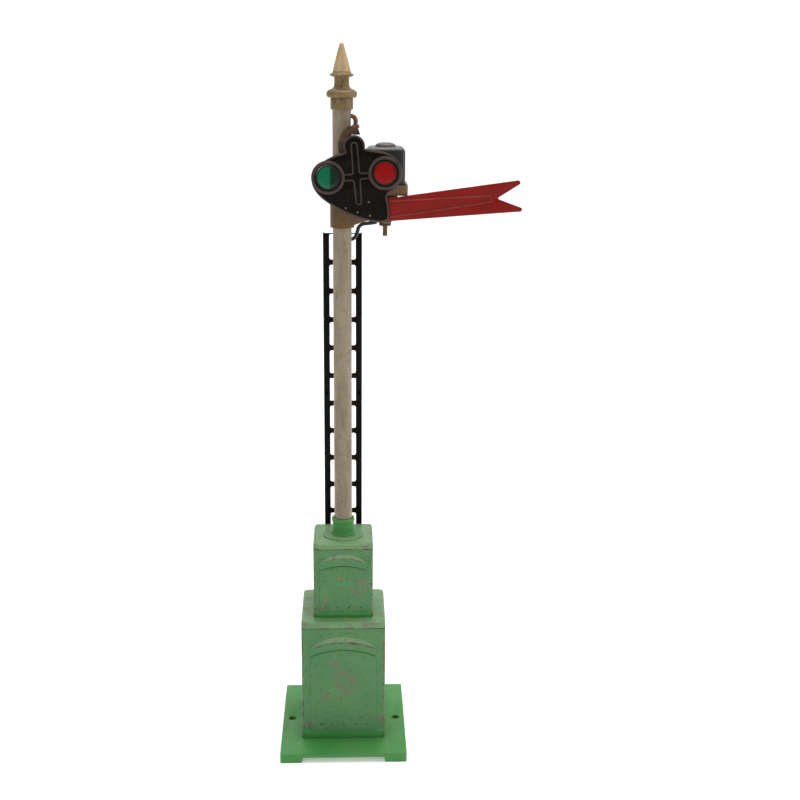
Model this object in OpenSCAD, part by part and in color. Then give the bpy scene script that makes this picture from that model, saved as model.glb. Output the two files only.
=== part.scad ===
// Model signal mast: a solenoid-worked semaphore on a two-tier pedestal.
// X runs along the arm, -Y is the front, Z is up. The origin is on the layout
// surface, on the mast's axis.

/* [Base] */
// Width of the base, along X
base_w = 68.3; // [62:0.1:90]
// Depth of the base, along Y
base_d = 78.8; // [76:0.1:100]
// Height of the base plate's top
base_h = 5.1; // [4.6:0.1:8]
// From the base's side to the middle of a fixing hole
hole_inset = 5.05; // [4.6:0.05:5.6]
// Diameter of a fixing hole
fixing_d = 4.2; // [3:0.1:5]
// Thickness of the base's top
base_t = 1.6; // [1.2:0.1:2.2]
// Width of a foot on the front skirt
foot_w = 12.3; // [8:0.1:16]

/* [Pedestal] */
// Side of the lower box
lower_w = 45.5; // [43:0.1:52]
// Height of the lower box with its lid
lower_h = 69.2; // [58:0.1:90]
// Side of the upper box
upper_w = 32.2; // [26.8:0.1:36]
// Height of the upper box with its lid
upper_h = 42.2; // [36:0.1:55]
// Thickness of the pressed sheet
sheet = 0.8; // [0.6:0.1:1]
// Height of the collar that holds the mast
collar_h = 9.2; // [7:0.1:14]

/* [Mast] */
// Outer diameter of the mast tube
tube_d = 9.525; // [9:0.025:11.5]
// Wall of the mast tube
tube_wall = 0.9; // [0.7:0.05:1]
// Height of the tube above the upper lid
mast_len = 231.9; // [210:0.1:280]
// Height of the finial above the tube
finial_h = 26.6; // [24:0.1:40]

/* [Signal head] */
// How far the arm's pivot stands to the right of the mast's axis
pivot_x = 6.1; // [6:0.1:7.3]
// How far the pivot lies below the top of the tube
pivot_drop = 22.8; // [21:0.1:26]
// Distance from the pivot to the middle of each lens
lens_reach = 20.1; // [19.6:0.1:24]
// Diameter of a lens
lens_d = 12.4; // [10:0.1:15]
// Angle between the two lenses, seen from the pivot
arm_swing = 90; // [80:1:92]
// How far the arm is raised when it shows stop
rest_tilt = 4.8; // [0:0.1:8]
// Length of the blade beyond the casting
blade_len = 66; // [50:0.1:90]
// Throw of the crank that lifts the arm
crank_r = 2.8; // [2.6:0.1:3.6]

/* [Lamp] */
// Width and depth of the lamp housing
housing_w = 19.6; // [16.4:0.1:23.5]
// Height of the lamp housing, without its cap
housing_h = 22.4; // [20:0.1:26]
// Depth of the tray that the housing stands in
tray_h = 5.3; // [4:0.1:7]
// Diameter of the bulb's globe
bulb_d = 10; // [8:0.1:11]

/* [Ladder] */
// Overall width of the ladder
ladder_w = 20.6; // [17:0.1:24]
// Distance between rungs
rung_pitch = 15.49; // [12:0.01:18]
// Height of a rung
rung_h = 2.8; // [1.5:0.1:3.5]
// Width of a stile
stile_w = 3.3; // [2:0.1:4]

/* [Coil] */
// Diameter of the winding
coil_d = 25; // [20:0.1:28]
// Length of the bobbin
coil_len = 44; // [40:0.1:46]
// Diameter of the plunger
plunger_d = 8.4; // [7:0.1:9]

/* [Fits] */
// Radial clearance of a pin or shaft that turns or slides
run_fit = 0.05; // [0.02:0.01:0.08]
// Clearance of one pressed piece inside another
lid_fit = 0.1; // [0.05:0.01:0.15]
// Gap between faces that pass each other
pass_gap = 0.3; // [0.2:0.05:0.35]

/* [Hidden] */
$fn = 48;
slop = 0.5;

// Heights of the tiers and of the head
lower_z = base_h + lower_h;
upper_z = lower_z + upper_h;
tube_top = upper_z + mast_len;
pivot_z = tube_top - pivot_drop;
tube_r = tube_d / 2;
bore_r = tube_r - tube_wall;

// Boxes: lid skirts, corner radius, pressed hood and rivets
lower_skirt = 3.8;
upper_skirt = 3.05;
tongue_h = 4;
corner_r = 1;
lid_corner_r = 2.4;
lid_edge_r = 1.2;
flange_w = 4.2;
hood_depth = 1.1;
hood_h = 3.4;
panel_t = 0.4;
sink = 0.2;
rivet_r = 0.6;
rivet_pitch = 6.35;
disc_r = 11.2;
disc_h = 0.8;

// The door panel and its hood, as shares of the box's side
hood_half = 0.41;
hood_drop = 0.25;
hood_rise = 0.16;
panel_half = 0.395;
panel_foot = 0.095;
panel_drop = 0.33;
panel_rise = 0.075;
rivet_rise = 0.19;

// Fastening of the mast in the upper box
collar_r = tube_r + lid_fit + 0.9;
tube_end = upper_z - 12.5;
mast_nut_r = 8.4;
mast_nut_h = 4;
ferrule_r = tube_r + run_fit + 0.9;
ferrule_h = 5.7;
ring_r = ferrule_r + 0.6;
neck_r = 3.73;

// Base: skirt, feet and screws
fixing_gap = base_w - 2 * hole_inset;
coil_screw_x = 11;
skirt = 2.4;
notch_h = 3;
notch_slant = 0.9;
boss_wall = 2.2;
screw_r = 1;
head_r = 1.8;
head_h = 1;

// Layers of the head, counted from the front of the mast
sleeve_t = 1.4;
plate_t = 1.2;
sleeve_r = tube_r + sleeve_t;
plate_back = -sleeve_r + 0.2;
plate_front = -sleeve_r - plate_t;
bush_front = plate_front - 0.5;
link_back = bush_front - pass_gap;
link_front = link_back - plate_t;
blade_t = 0.8;
rivet_tail = 0.4;
tray_t = 1.05;
tray_w = housing_w + 2 * (0.25 + tray_t);
casting_back = min(link_front - 2, -tray_w / 2 - 0.7 - rivet_tail - blade_t);
casting_front = casting_back - 1.2;
bead_front = casting_front - 0.6;
cell_front = casting_front - 1.5;

// The casting that carries the lenses
lobe_r = 5.4;
cell_r = lens_d / 2 + 2.4;
lip = 0.7;
ring_t = 0.6;
lens_t = 1;
arm_rivet_r = 0.5;
rivet_spots = [[-6.8, -29.9], [-1, -32.4], [5, -27.8], [5, -34.6]];
blade_root = 15.2;

// Arm linkage: the crank swings evenly to either side of level
shaft_r = 1;
pin_r = 0.7;
crank_angle = 180 - arm_swing / 2;
crank = crank_r * [cos(crank_angle), sin(crank_angle)];
stroke = 2 * crank_r * sin(arm_swing / 2);
fork_gap = pin_r + 0.25;
jaw_x = -shaft_r - pass_gap;
link_sill = shaft_r + pass_gap + stroke;
link_top = link_sill + 4.4;
washer_r = 1.9;
bush_r = 2;

// Operating rod and its hook
rod_r = 1.15;
hook_r = 2.3;
hook_rise = 14;
hook_x = tube_r + rod_r + 1;
hook_tip = 7;

// Lamp: the lens that shows at rest decides where it stands
red_angle = rest_tilt - 90 + arm_swing / 2;
lamp_shift = 0.5;
lamp_x = pivot_x + lens_reach * cos(red_angle) + lamp_shift;
lamp_z = pivot_z + lens_reach * sin(red_angle);
tray_z = lamp_z - 11.53;
tray_floor = 1.2;
housing_z = tray_z + tray_floor;
housing_t = 0.6;
roof_r = 2.6;
window_r = 6;
cap_r = 5.4;
cap_h = 2.1;
socket_r = 4.9;
socket_z = tray_z - 13.1;
bulb_r = bulb_d / 2;
base_r = 3.3;
bulb_foot = tray_z - 4.5;
stud_r = 1.18;
washer_t = 1.2;
tag_t = 0.4;
tag_reach = 4.1;
lamp_nut_r = 3.1;
lamp_nut_h = 1.5;
stud_end = 8.4;

// Ladder: it stands on the lower tier's ledge behind the upper box
ladder_depth = 2.6;
ladder_t = 0.8;
ladder_y = upper_w / 2 + hood_depth + 0.6;
ladder_top = tube_top - 69.9;
joint_rung = 6;
splice_z = ladder_top - joint_rung * rung_pitch;
ladder_joint = splice_z + rung_h / 2 + 0.1;
splice_rise = 6;
splice_r = 0.8;
top_rung_h = 0.5;
ladder_tab_w = 7;
foot_screw_z = ladder_top - 4;
tab_back = tube_r + lid_fit + ladder_t;

// Coil: it stands on the base inside the lower box
strap_t = 1.6;
strap_w = 14;
bobbin_t = 1;
cheek_t = 1.5;
plunger_len = 32;
plug_len = 13.3;
coil_z = base_h + strap_t;
plunger_z = coil_z + plug_len + stroke + 1;
plunger_r = plunger_d / 2;
bobbin_r = plunger_r + run_fit;

// Binding posts on the rear ledge
post_pitch = 15;
post_y = lower_w / 2 + (base_d - lower_w) / 4;
post_r = 1.6;
post_h = 10;
post_bush_r = 3.8;
bush_h = 1.6;
post_hole_r = post_r + 0.6;
nut_r = 3.6;
nut_h = 4;

// Lamp lead: out of the lamp's tag, into the mast and down to a binding post
lead_r = 1;
lead_sides = 8;
lead_route = [
    [lamp_x - tag_reach - 0.2, 0, 286.6], [16.2, 0.2, 286.3], [13.8, 0.8, 285.9], [11.6, 1.2, 285.6],
    [9.8, 1.6, 285], [8.5, 2, 283.7], [7.9, 2.3, 281.8], [7.4, 2.5, 280], [6.7, 2.6, 278.6],
    [5.6, 2.6, 277.7], [4.2, 2.6, 277.1], [2.4, 2.5, 275.6], [0.8, 2.5, 273.4], [0, 2.5, 270],
    [0, 2.5, 255], [0, 2.5, 230], [0, 2.5, 200], [0, 2.5, 170],
    [0, 2.5, 140], [0, 2.5, 112], [0, 3.1, 102], [0, 5.4, 90], [0, 7.2, 78],
    [0, 7.8, 71], [0, 11.6, 62], [0, 15, 55], [0, 15.6, 46], [0, 15.6, 28],
    [0, 15.6, 8], [0, 16, 4.2], [0, 17.8, 2.4], [0, 21.5, 2.25], [0, 25.5, 2.25],
    [0, 28.3, 2.25]
];

// Points of an arc from a to b that bows out to the left by rise
function bow(a, b, rise, steps = 8) =
    let (span = norm(b - a), along = (b - a) / span, side = [-along[1], along[0]])
    let (out = side * sign(rise), deep = abs(rise))
    let (r = (span * span / 4 + deep * deep) / (2 * deep), half = asin(span / 2 / r))
    let (centre = (a + b) / 2 + out * (deep - r))
    [for (i = [0:steps]) let (t = half * (2 * i / steps - 1))
        centre + r * (out * cos(t) + along * sin(t))];

// A flat outline drawn in X and Z, as thick as from front to back in Y
module slab(front, back) {
    translate([0, back, 0]) rotate([90, 0, 0]) linear_extrude(back - front) children();
}

// A round bar along Y
module bar_y(r, front, back) {
    translate([0, back, 0]) rotate([90, 0, 0]) cylinder(r = r, h = back - front);
}

// The head's own frame: origin at the pivot, arm level
module at_arm() {
    translate([pivot_x, 0, pivot_z]) rotate([0, -rest_tilt, 0]) children();
}

module at_lens(side) {
    a = -90 + side * arm_swing / 2;
    translate([lens_reach * cos(a), 0, lens_reach * sin(a)]) children();
}

module round_rect(w, d, r) {
    square([w - 2 * r, d], center = true);
    square([w, d - 2 * r], center = true);
    for (x = [-1, 1], y = [-1, 1])
        translate([x * (w / 2 - r), y * (d / 2 - r)]) circle(r);
}

module box_wall(w, t, z0, z1, r) {
    translate([0, 0, z0]) linear_extrude(z1 - z0) difference() {
        round_rect(w, w, r);
        round_rect(w - 2 * t, w - 2 * t, max(0.3, r - t));
    }
}

// Two copies, one for the front face and one for the rear face
module on_faces() {
    for (turn = [0, 180]) rotate(turn) children();
}

module at_corners(w) {
    for (x = [-1, 1], y = [-1, 1]) translate([x * w / 2, y * w / 2, 0]) children();
}

// Pressed hood over the door panel: upper and lower edges are bows
module hood(half, foot_z, rise) {
    upper = bow([-half, foot_z], [half, foot_z], rise, 16);
    inner = half * 0.84;
    lower = bow([inner, foot_z - hood_h], [-inner, foot_z - hood_h], -rise * 0.47, 16);
    slab(-hood_depth, sink) polygon(concat(upper, lower));
}

// Raised door panel with a bowed top below the hood
module panel(half, z0, z1, rise) {
    slab(-panel_t, sink) polygon(concat(
        [[-half, z0], [half, z0]],
        bow([half, z1], [-half, z1], -rise, 16)
    ));
}

module rivet_row(count, z) {
    for (i = [0:count - 1]) translate([(i - (count - 1) / 2) * rivet_pitch, 0, z])
        bar_y(rivet_r, -panel_t - 0.3, 0);
}

// One box of the pedestal, open at the top, with a flange to screw it down
module tier_case(w, z0, z1, skirt_h, rivets) {
    body_w = w - 2 * lid_fit;
    lid_z = z1 - skirt_h;
    screw_w = w - 2 * sheet - flange_w;
    tongue_corner = lid_corner_r - sheet;
    difference() {
        union() {
            box_wall(body_w, sheet, z0, lid_z, corner_r);
            box_wall(body_w - 2 * sheet, sheet, lid_z - tongue_h, z1 - sheet - lid_fit, tongue_corner);
            box_wall(w - 2 * sheet, flange_w, z0, z0 + sheet, corner_r);
        }
        at_corners(screw_w)
            translate([0, 0, z0 - slop]) cylinder(r = screw_r, h = sheet + 2 * slop);
    }
    on_faces() translate([0, -body_w / 2, 0]) {
        hood(w * hood_half, lid_z - w * hood_drop, w * hood_rise);
        panel(w * panel_half, z0 + w * panel_foot, lid_z - w * panel_drop, w * panel_rise);
        rivet_row(rivets, z0 + w * rivet_rise);
    }
}

// Half of a lid's section at its rim: the upper edge is softened
module lid_rim(h) {
    r = lid_corner_r;
    e = lid_edge_r;
    polygon([[0, 0], [r, 0], [r, h - e], [r - e * 0.13, h - e * 0.5],
        [r - e * 0.5, h - e * 0.13], [r - e, h], [0, h]]);
}

// A pressed lid over one tier
module tier_lid(w, z1, skirt_h, hole_r) {
    reach = w / 2 - lid_corner_r;
    translate([0, 0, z1 - skirt_h]) difference() {
        union() {
            at_corners(2 * reach) rotate_extrude() lid_rim(skirt_h);
            for (turn = [0:90:270]) rotate(turn) translate([reach, reach, 0])
                rotate([90, 0, 0]) linear_extrude(2 * reach) lid_rim(skirt_h);
            translate([-reach, -reach, 0]) cube([2 * reach, 2 * reach, skirt_h]);
        }
        translate([0, 0, -slop]) linear_extrude(skirt_h + slop - sheet)
            round_rect(w - 2 * sheet, w - 2 * sheet, lid_corner_r - sheet);
        cylinder(r = hole_r, h = skirt_h + slop);
    }
}

// A screw that stands on its head: shank up, head below z
module up_screw(z, len) {
    translate([0, 0, z]) cylinder(r = screw_r, h = len);
    translate([0, 0, z - head_h]) cylinder(r = head_r, h = head_h);
}

module base_plate() color("mediumseagreen") difference() {
    union() {
        difference() {
            linear_extrude(base_h) round_rect(base_w, base_d, corner_r);
            translate([0, 0, -slop]) linear_extrude(base_h - base_t + slop)
                round_rect(base_w - 2 * skirt, base_d - 2 * skirt, corner_r);
        }
        for (side = [-1, 1]) translate([side * fixing_gap / 2, 0, 0])
            cylinder(r = fixing_d / 2 + boss_wall, h = base_h);
    }
    for (side = [-1, 1]) translate([side * fixing_gap / 2, 0, -slop])
        cylinder(d = fixing_d, h = base_h + 2 * slop);
    // the skirt is cut away between the feet, front and rear
    top_w = base_w / 2 - foot_w;
    slab(-base_d, base_d) polygon([
        [-top_w - notch_slant, -slop], [top_w + notch_slant, -slop],
        [top_w, notch_h], [-top_w, notch_h]
    ]);
    at_corners(lower_w - 2 * sheet - flange_w)
        cylinder(r = screw_r, h = base_h + slop);
    for (side = [-1, 1]) translate([side * coil_screw_x, 0, 0])
        cylinder(r = screw_r, h = base_h + slop);
    for (i = [-1:1]) translate([i * post_pitch, post_y, 0])
        cylinder(r = post_hole_r, h = base_h + slop);
    // the lead comes down through the top
    translate([-2, lower_w / 2 - 9, 0]) cube([4, 4.8, base_h + slop]);
}

module base_screws() color("silver")
    at_corners(lower_w - 2 * sheet - flange_w) up_screw(base_h - base_t, base_t + sheet);

module tier_screws() color("silver")
    at_corners(upper_w - 2 * sheet - flange_w) up_screw(lower_z - sheet, 2 * sheet);

module lower_case() color("darkseagreen")
    tier_case(lower_w, base_h, lower_z, lower_skirt, 5);

module lower_lid() color("darkseagreen") difference() {
    tier_lid(lower_w, lower_z, lower_skirt, 9);
    at_corners(upper_w - 2 * sheet - flange_w)
        translate([0, 0, lower_z - sheet - slop]) cylinder(r = screw_r, h = sheet + 2 * slop);
}

module upper_case() color("darkseagreen")
    tier_case(upper_w, lower_z, upper_z, upper_skirt, 4);

module upper_lid() color("darkseagreen") {
    tier_lid(upper_w, upper_z, upper_skirt, tube_r + lid_fit);
    translate([0, 0, upper_z - 0.1]) difference() {
        cylinder(r = disc_r, h = disc_h + 0.1);
        translate([0, 0, -slop]) cylinder(r = tube_r + lid_fit, h = disc_h + 2 * slop);
    }
}

module mast_collar() color("darkseagreen") translate([0, 0, upper_z + disc_h])
    rotate_extrude() polygon(concat(
        [[tube_r + lid_fit, 0], [collar_r + 0.75, 0]],
        bow([collar_r, 0.9], [collar_r, collar_h - 2.6], 0.05, 4),
        bow([collar_r + 0.6, collar_h - 2.4], [collar_r + 0.6, collar_h], -0.25, 6),
        [[tube_r + lid_fit, collar_h]]
    ));

// Clamps the tube under the upper lid
module mast_nut() color("goldenrod")
    translate([0, 0, upper_z - sheet - mast_nut_h]) difference() {
        cylinder(r = mast_nut_r, h = mast_nut_h, $fn = 6);
        translate([0, 0, -slop]) cylinder(r = tube_r + lid_fit, h = mast_nut_h + 2 * slop);
    }

module mast_tube() color("oldlace") difference() {
    len = tube_top - tube_end;
    translate([0, 0, tube_end]) cylinder(r = tube_r, h = len);
    translate([0, 0, tube_end - slop]) cylinder(r = bore_r, h = len + 2 * slop);
    // slot that the hook runs in
    translate([0, -rod_r - 0.4, pivot_z + hook_rise - rod_r - stroke - 1])
        cube([tube_r + 1, 2 * rod_r + 0.8, stroke + 2 * rod_r + 1.8]);
    // hole for the lead
    translate([1.6, 1.2, ladder_top - 5.4]) cube([4, 3.1, 6.8]);
    // hole for the ladder's screw
    translate([0, 0, foot_screw_z]) bar_y(screw_r, 0, tube_d);
}

module finial() color("darkgoldenrod") translate([0, 0, tube_top])
    rotate_extrude() polygon(concat(
        [[0, -5.4], [bore_r - lid_fit, -5.4], [bore_r - lid_fit, 0]],
        bow([ring_r, 0], [ring_r, 3.9], -1.4, 10),
        [[neck_r, 3.9], [neck_r, 9.6]],
        bow([5.4, 9.6], [5.4, 12.2], -0.55, 6),
        [[4.5, 12.2], [0.9, finial_h - 0.9]],
        bow([0.8, finial_h - 0.7], [0, finial_h], 0.2, 4)
    ));

module finial_ferrule() color("darkgoldenrod") translate([0, 0, tube_top - ferrule_h])
    rotate_extrude() polygon([
        [tube_r + run_fit, 0], [ferrule_r - 0.28, 0], [ferrule_r, 0.3],
        [ferrule_r, ferrule_h], [tube_r + run_fit, ferrule_h]
    ]);

// One length of the ladder, with rungs at every pitch below its top
module ladder_length(z0, z1, rungs) {
    side_x = (ladder_w - stile_w) / 2;
    for (side = [-1, 1]) translate([side * side_x, ladder_y, 0]) {
        difference() {
            translate([-stile_w / 2, 0, z0]) cube([stile_w, ladder_t, z1 - z0]);
            for (rise = [0, splice_rise]) translate([0, 0, splice_z + rise])
                bar_y(splice_r + run_fit, -slop, ladder_t + slop);
        }
        translate([side * (stile_w - ladder_t) / 2 - ladder_t / 2, 0, z0])
            cube([ladder_t, ladder_depth, z1 - z0]);
    }
    for (k = rungs)
        translate([-side_x + stile_w / 2 - 0.1, ladder_y, ladder_top - k * rung_pitch - rung_h / 2])
            cube([2 * side_x - stile_w + 0.2, ladder_t, rung_h]);
}

module ladder_upper() color("#1d1d1f") {
    ladder_length(ladder_joint + 0.1, ladder_top, [1:joint_rung - 1]);
    // a thin rung at the top, bent forward to the mast and turned down behind it
    translate([-ladder_w / 2 + 1, ladder_y, ladder_top - top_rung_h])
        cube([ladder_w - 2, ladder_t, top_rung_h]);
    translate([-ladder_tab_w / 2, tube_r + lid_fit, ladder_top - ladder_t])
        cube([ladder_tab_w, ladder_y - tube_r, ladder_t]);
    difference() {
        translate([-ladder_tab_w / 2, tube_r + lid_fit, ladder_top - 7])
            cube([ladder_tab_w, ladder_t, 7]);
        translate([0, 0, foot_screw_z]) bar_y(screw_r, 0, tube_d);
    }
}

module ladder_lower() color("#1d1d1f")
    ladder_length(lower_z, ladder_joint,
        [joint_rung:floor((ladder_top - lower_z - rung_h) / rung_pitch)]);

// Strips behind the stiles join the two lengths, each with a headed and a flush rivet
module ladder_splices() color("#2b2b2d") for (side = [-1, 1])
    translate([side * (ladder_w - stile_w) / 2, ladder_y, splice_z]) {
        translate([-side * 0.4 - 1, ladder_t, -3]) cube([2, ladder_t, splice_rise + 5]);
        for (rise = [0, splice_rise]) translate([0, 0, rise]) bar_y(splice_r, 0, ladder_t);
        bar_y(1.35, -0.35, 0);
    }

module ladder_screw() color("silver") {
    translate([0, 0, foot_screw_z]) bar_y(screw_r, bore_r, tab_back);
    translate([0, 0, foot_screw_z]) bar_y(head_r, tab_back, tab_back + head_h);
}

// Sleeve round the mast with a front plate that carries the pivot and the lamp
module head_bracket() color("darkgoldenrod") difference() {
    bottom = tray_z - 17.1;
    sleeve_h = 32;
    union() {
        translate([0, 0, bottom]) cylinder(r = sleeve_r, h = sleeve_h);
        slab(plate_front, plate_back) union() {
            polygon(concat(
                [[-3, bottom], [1.5, bottom]],
                bow([5, bottom + 1.3], [14.2, bottom + 4.4], 0.3, 4),
                [[lamp_x - socket_r - 1, bottom + 6.5], [lamp_x - socket_r - 1, tray_z - 2.4]],
                [[lamp_x + 6, tray_z - 2.4], [lamp_x + 6, tray_z]],
                [[lamp_x - tray_w / 2 - pass_gap, tray_z], [lamp_x - tray_w / 2 - pass_gap, tray_z + 8]],
                [[pivot_x + 2.6, pivot_z], [pivot_x - 2.6, pivot_z], [-3, pivot_z - 12]]
            ));
            translate([pivot_x, pivot_z]) circle(2.6);
        }
    }
    translate([0, 0, bottom - slop]) cylinder(r = tube_r + run_fit, h = sleeve_h + 2 * slop);
    translate([pivot_x, 0, pivot_z]) bar_y(bush_r, plate_front - slop, plate_back + slop);
}

module pivot_bush() color("gold") translate([pivot_x, 0, pivot_z]) difference() {
    union() {
        bar_y(bush_r, bush_front, plate_back);
        bar_y(bush_r + 0.3, bush_front, plate_front);
    }
    bar_y(shaft_r + run_fit, bush_front - slop, plate_back + slop);
}

module pivot_shaft() color("silver") translate([pivot_x, 0, pivot_z])
    bar_y(shaft_r, casting_back, plate_back + 1.4);

// Rides on the shaft's end behind the bush and keeps it in
module pivot_washer() color("gainsboro") translate([pivot_x, 0, pivot_z]) difference() {
    bar_y(washer_r, plate_back + 0.15, plate_back + 0.75);
    bar_y(shaft_r, plate_back, plate_back + 1);
}

// The web of the casting between the lobe, the two cells and the blade's root
module casting_web() {
    x = lens_reach * sin(arm_swing / 2);
    z = -lens_reach * cos(arm_swing / 2);
    polygon(concat(
        [[-4.6, -2.2]],
        bow([-5.8, -2.9], [-x, z + cell_r], 0.6, 4),
        [[-x, z], [-x - cell_r * 0.55, z - cell_r * 0.82]],
        bow([-x - cell_r * 0.45, z - cell_r * 1.1], [8, -38.1], -2, 10),
        bow([11.9, -38.3], [14.6, -35], -0.6, 4),
        [[14.6, -28.9], [14, -26.2], [x + 0.7, z - cell_r]],
        [[x, z], [x + 1, z + cell_r * 1.1]],
        bow([x, z + cell_r * 1.1], [5.6, -1.9], 0.1, 3)
    ));
}

module spectacle() color("#26221f") at_arm() difference() {
    union() {
        slab(casting_front, casting_back) {
            circle(lobe_r);
            casting_web();
        }
        for (side = [-1, 1]) at_lens(side) bar_y(cell_r, casting_front, casting_back);
        for (side = [-1, 1]) at_lens(side) bar_y(cell_r - 0.1, cell_front, casting_front);
        // the ribs that cross in front of the web
        slab(bead_front, casting_front) {
            translate([-1.8, -28.7]) square([3.6, 30]);
            translate([-6, -16]) square([12, 3.8]);
        }
        // boss that keeps the casting clear of the link
        bar_y(2.4, casting_back, link_front - pass_gap);
    }
    for (side = [-1, 1]) at_lens(side) {
        bar_y(lens_d / 2, cell_front - slop, casting_back - lip);
        bar_y(lens_d / 2 - lip, cell_front, casting_back + slop);
    }
    bar_y(shaft_r, casting_back - 0.01, link_front);
    rotate([0, rest_tilt, 0]) translate([crank[0], 0, crank[1]])
        bar_y(pin_r, casting_back - 0.6, link_front);
    for (p = rivet_spots) translate([p[0], 0, p[1]])
        bar_y(arm_rivet_r, casting_front - slop, casting_back + slop);
}

module lens(side) at_arm() at_lens(side)
    bar_y(lens_d / 2 - 0.02, casting_back - lip - lens_t, casting_back - lip);

module green_lens() color("green") lens(-1);

module red_lens() color("red") lens(1);

module lens_rings() color("#4a4540") at_arm() for (side = [-1, 1]) at_lens(side) difference() {
    bar_y(lens_d / 2 - 0.02, casting_back - lip - lens_t - ring_t, casting_back - lip - lens_t);
    bar_y(lens_d / 2 - 0.8, casting_back - lip - lens_t - 2 * ring_t, casting_back - lip);
}

// Swallow-tailed blade, riveted behind the casting
module arm_blade() color("firebrick") at_arm() difference() {
    tip = blade_root + blade_len;
    slab(casting_back, casting_back + blade_t) polygon(concat(
        [[-8.4, -28.6], [3, -26.9], [15.4, -26.8]],
        bow([tip - 1.4, -23.1], [tip + 0.5, -24.3], 0.5, 4),
        [[tip - 11.8, -31.3]],
        bow([tip + 0.6, -37.7], [tip - 1.4, -38.8], 0.5, 4),
        [[15.1, -38.3], [9, -37.4], [-8.4, -31.2]]
    ));
    for (p = rivet_spots) translate([p[0], 0, p[1]])
        bar_y(arm_rivet_r, casting_back - slop, casting_back + blade_t + slop);
}

module arm_rivets() color("silver") at_arm() for (p = rivet_spots) translate([p[0], 0, p[1]]) {
    bar_y(arm_rivet_r, casting_front - 0.25, casting_back + blade_t);
    bar_y(0.9, casting_back + blade_t, casting_back + blade_t + rivet_tail);
}

module crank_pin() color("silver") translate([pivot_x + crank[0], 0, pivot_z + crank[1]])
    bar_y(pin_r, casting_back - 0.6, link_back + pass_gap);

// C-shaped plate: its fork holds the crank pin and its mouth clears the pivot
module link_plate() color("saddlebrown") translate([pivot_x, 0, pivot_z]) {
    fork_x = -crank_r - fork_gap;
    slab(link_front, link_back) polygon(concat(
        [[1.6, link_top], [-3.2, link_top - 0.2]],
        bow([-5, link_top - 2], [fork_x - 3.9, -3.4], -1.4, 8),
        [[-5, -4.2], [jaw_x, -3], [jaw_x, crank[1] - fork_gap]],
        [[fork_x, crank[1] - fork_gap], [fork_x, crank[1] + fork_gap]],
        [[jaw_x, crank[1] + fork_gap], [jaw_x, link_sill], [3.1, link_sill]]
    ));
    // flange turned back past the mast to take the hook
    difference() {
        translate([tube_r + pass_gap - pivot_x, link_back - 0.1, link_top - plate_t])
            cube([3.65, 2.4 - link_back, plate_t]);
        translate([hook_x - pivot_x, 0, link_top - 2 * plate_t])
            cylinder(r = rod_r, h = 3 * plate_t);
    }
}

// Wire from the plunger to the hook at the head of the mast
module operating_rod() color("peru") {
    crown = pivot_z + hook_rise;
    bend_z = crown - hook_r;
    rod_foot = plunger_z + plunger_len;
    translate([0, 0, bend_z]) mirror([0, 0, 1]) cylinder(r = rod_r, h = bend_z - rod_foot);
    for (bend = [[hook_r, 90], [hook_x - hook_r, 0]])
        translate([bend[0], 0, bend_z]) rotate([90, 0, 0]) rotate(bend[1])
            rotate_extrude(angle = 90) translate([hook_r, 0]) circle(rod_r);
    translate([hook_r, 0, crown]) rotate([0, 90, 0])
        cylinder(r = rod_r, h = hook_x - 2 * hook_r);
    translate([hook_x, 0, pivot_z + hook_tip]) cylinder(r = rod_r, h = bend_z - pivot_z - hook_tip);
}

module plunger() color("lightsteelblue") translate([0, 0, plunger_z])
    cylinder(r = plunger_r, h = plunger_len);

module coil_frame() color("slategray") difference() {
    z1 = coil_z + coil_len;
    half = coil_d / 2 + 1;
    union() {
        translate([-half - strap_t, -strap_w / 2, base_h])
            cube([2 * (half + strap_t), strap_w, strap_t]);
        translate([-half - strap_t, -strap_w / 2, z1])
            cube([2 * (half + strap_t), strap_w, strap_t]);
        for (side = [-1, 1])
            translate([side * (half + strap_t / 2) - strap_t / 2, -strap_w / 2, base_h])
                cube([strap_t, strap_w, z1 - base_h + strap_t]);
    }
    translate([0, 0, z1 - slop]) cylinder(r = bobbin_r + 0.2, h = strap_t + 2 * slop);
    for (side = [-1, 1]) translate([side * coil_screw_x, 0, base_h - slop])
        cylinder(r = screw_r, h = strap_t + 2 * slop);
}

module coil_bobbin() color("tan") translate([0, 0, coil_z]) difference() {
    union() {
        cylinder(r = bobbin_r + bobbin_t, h = coil_len);
        for (z = [0, coil_len - cheek_t]) translate([0, 0, z])
            cylinder(r = coil_d / 2 + 0.6, h = cheek_t);
    }
    translate([0, 0, -slop]) cylinder(r = bobbin_r, h = coil_len + 2 * slop);
}

module coil_winding() color("chocolate") translate([0, 0, coil_z + cheek_t]) difference() {
    cylinder(r = coil_d / 2, h = coil_len - 2 * cheek_t);
    translate([0, 0, -slop]) cylinder(r = bobbin_r + bobbin_t, h = coil_len);
}

// Fixed end of the core, which the plunger is pulled towards
module core_plug() color("lightsteelblue") translate([0, 0, coil_z])
    cylinder(r = bobbin_r, h = plug_len);

module coil_screws() color("silver") for (side = [-1, 1]) translate([side * coil_screw_x, 0, 0])
    up_screw(base_h - base_t, base_t + strap_t);

module lamp_tray() color("darkgoldenrod") translate([lamp_x, 0, tray_z]) difference() {
    linear_extrude(tray_h) round_rect(tray_w, tray_w, 1.8);
    translate([0, 0, tray_floor]) linear_extrude(tray_h)
        round_rect(tray_w - 2 * tray_t, tray_w - 2 * tray_t, 1.4);
    translate([0, 0, -slop]) cylinder(r = socket_r, h = tray_floor + 2 * slop);
}

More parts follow.
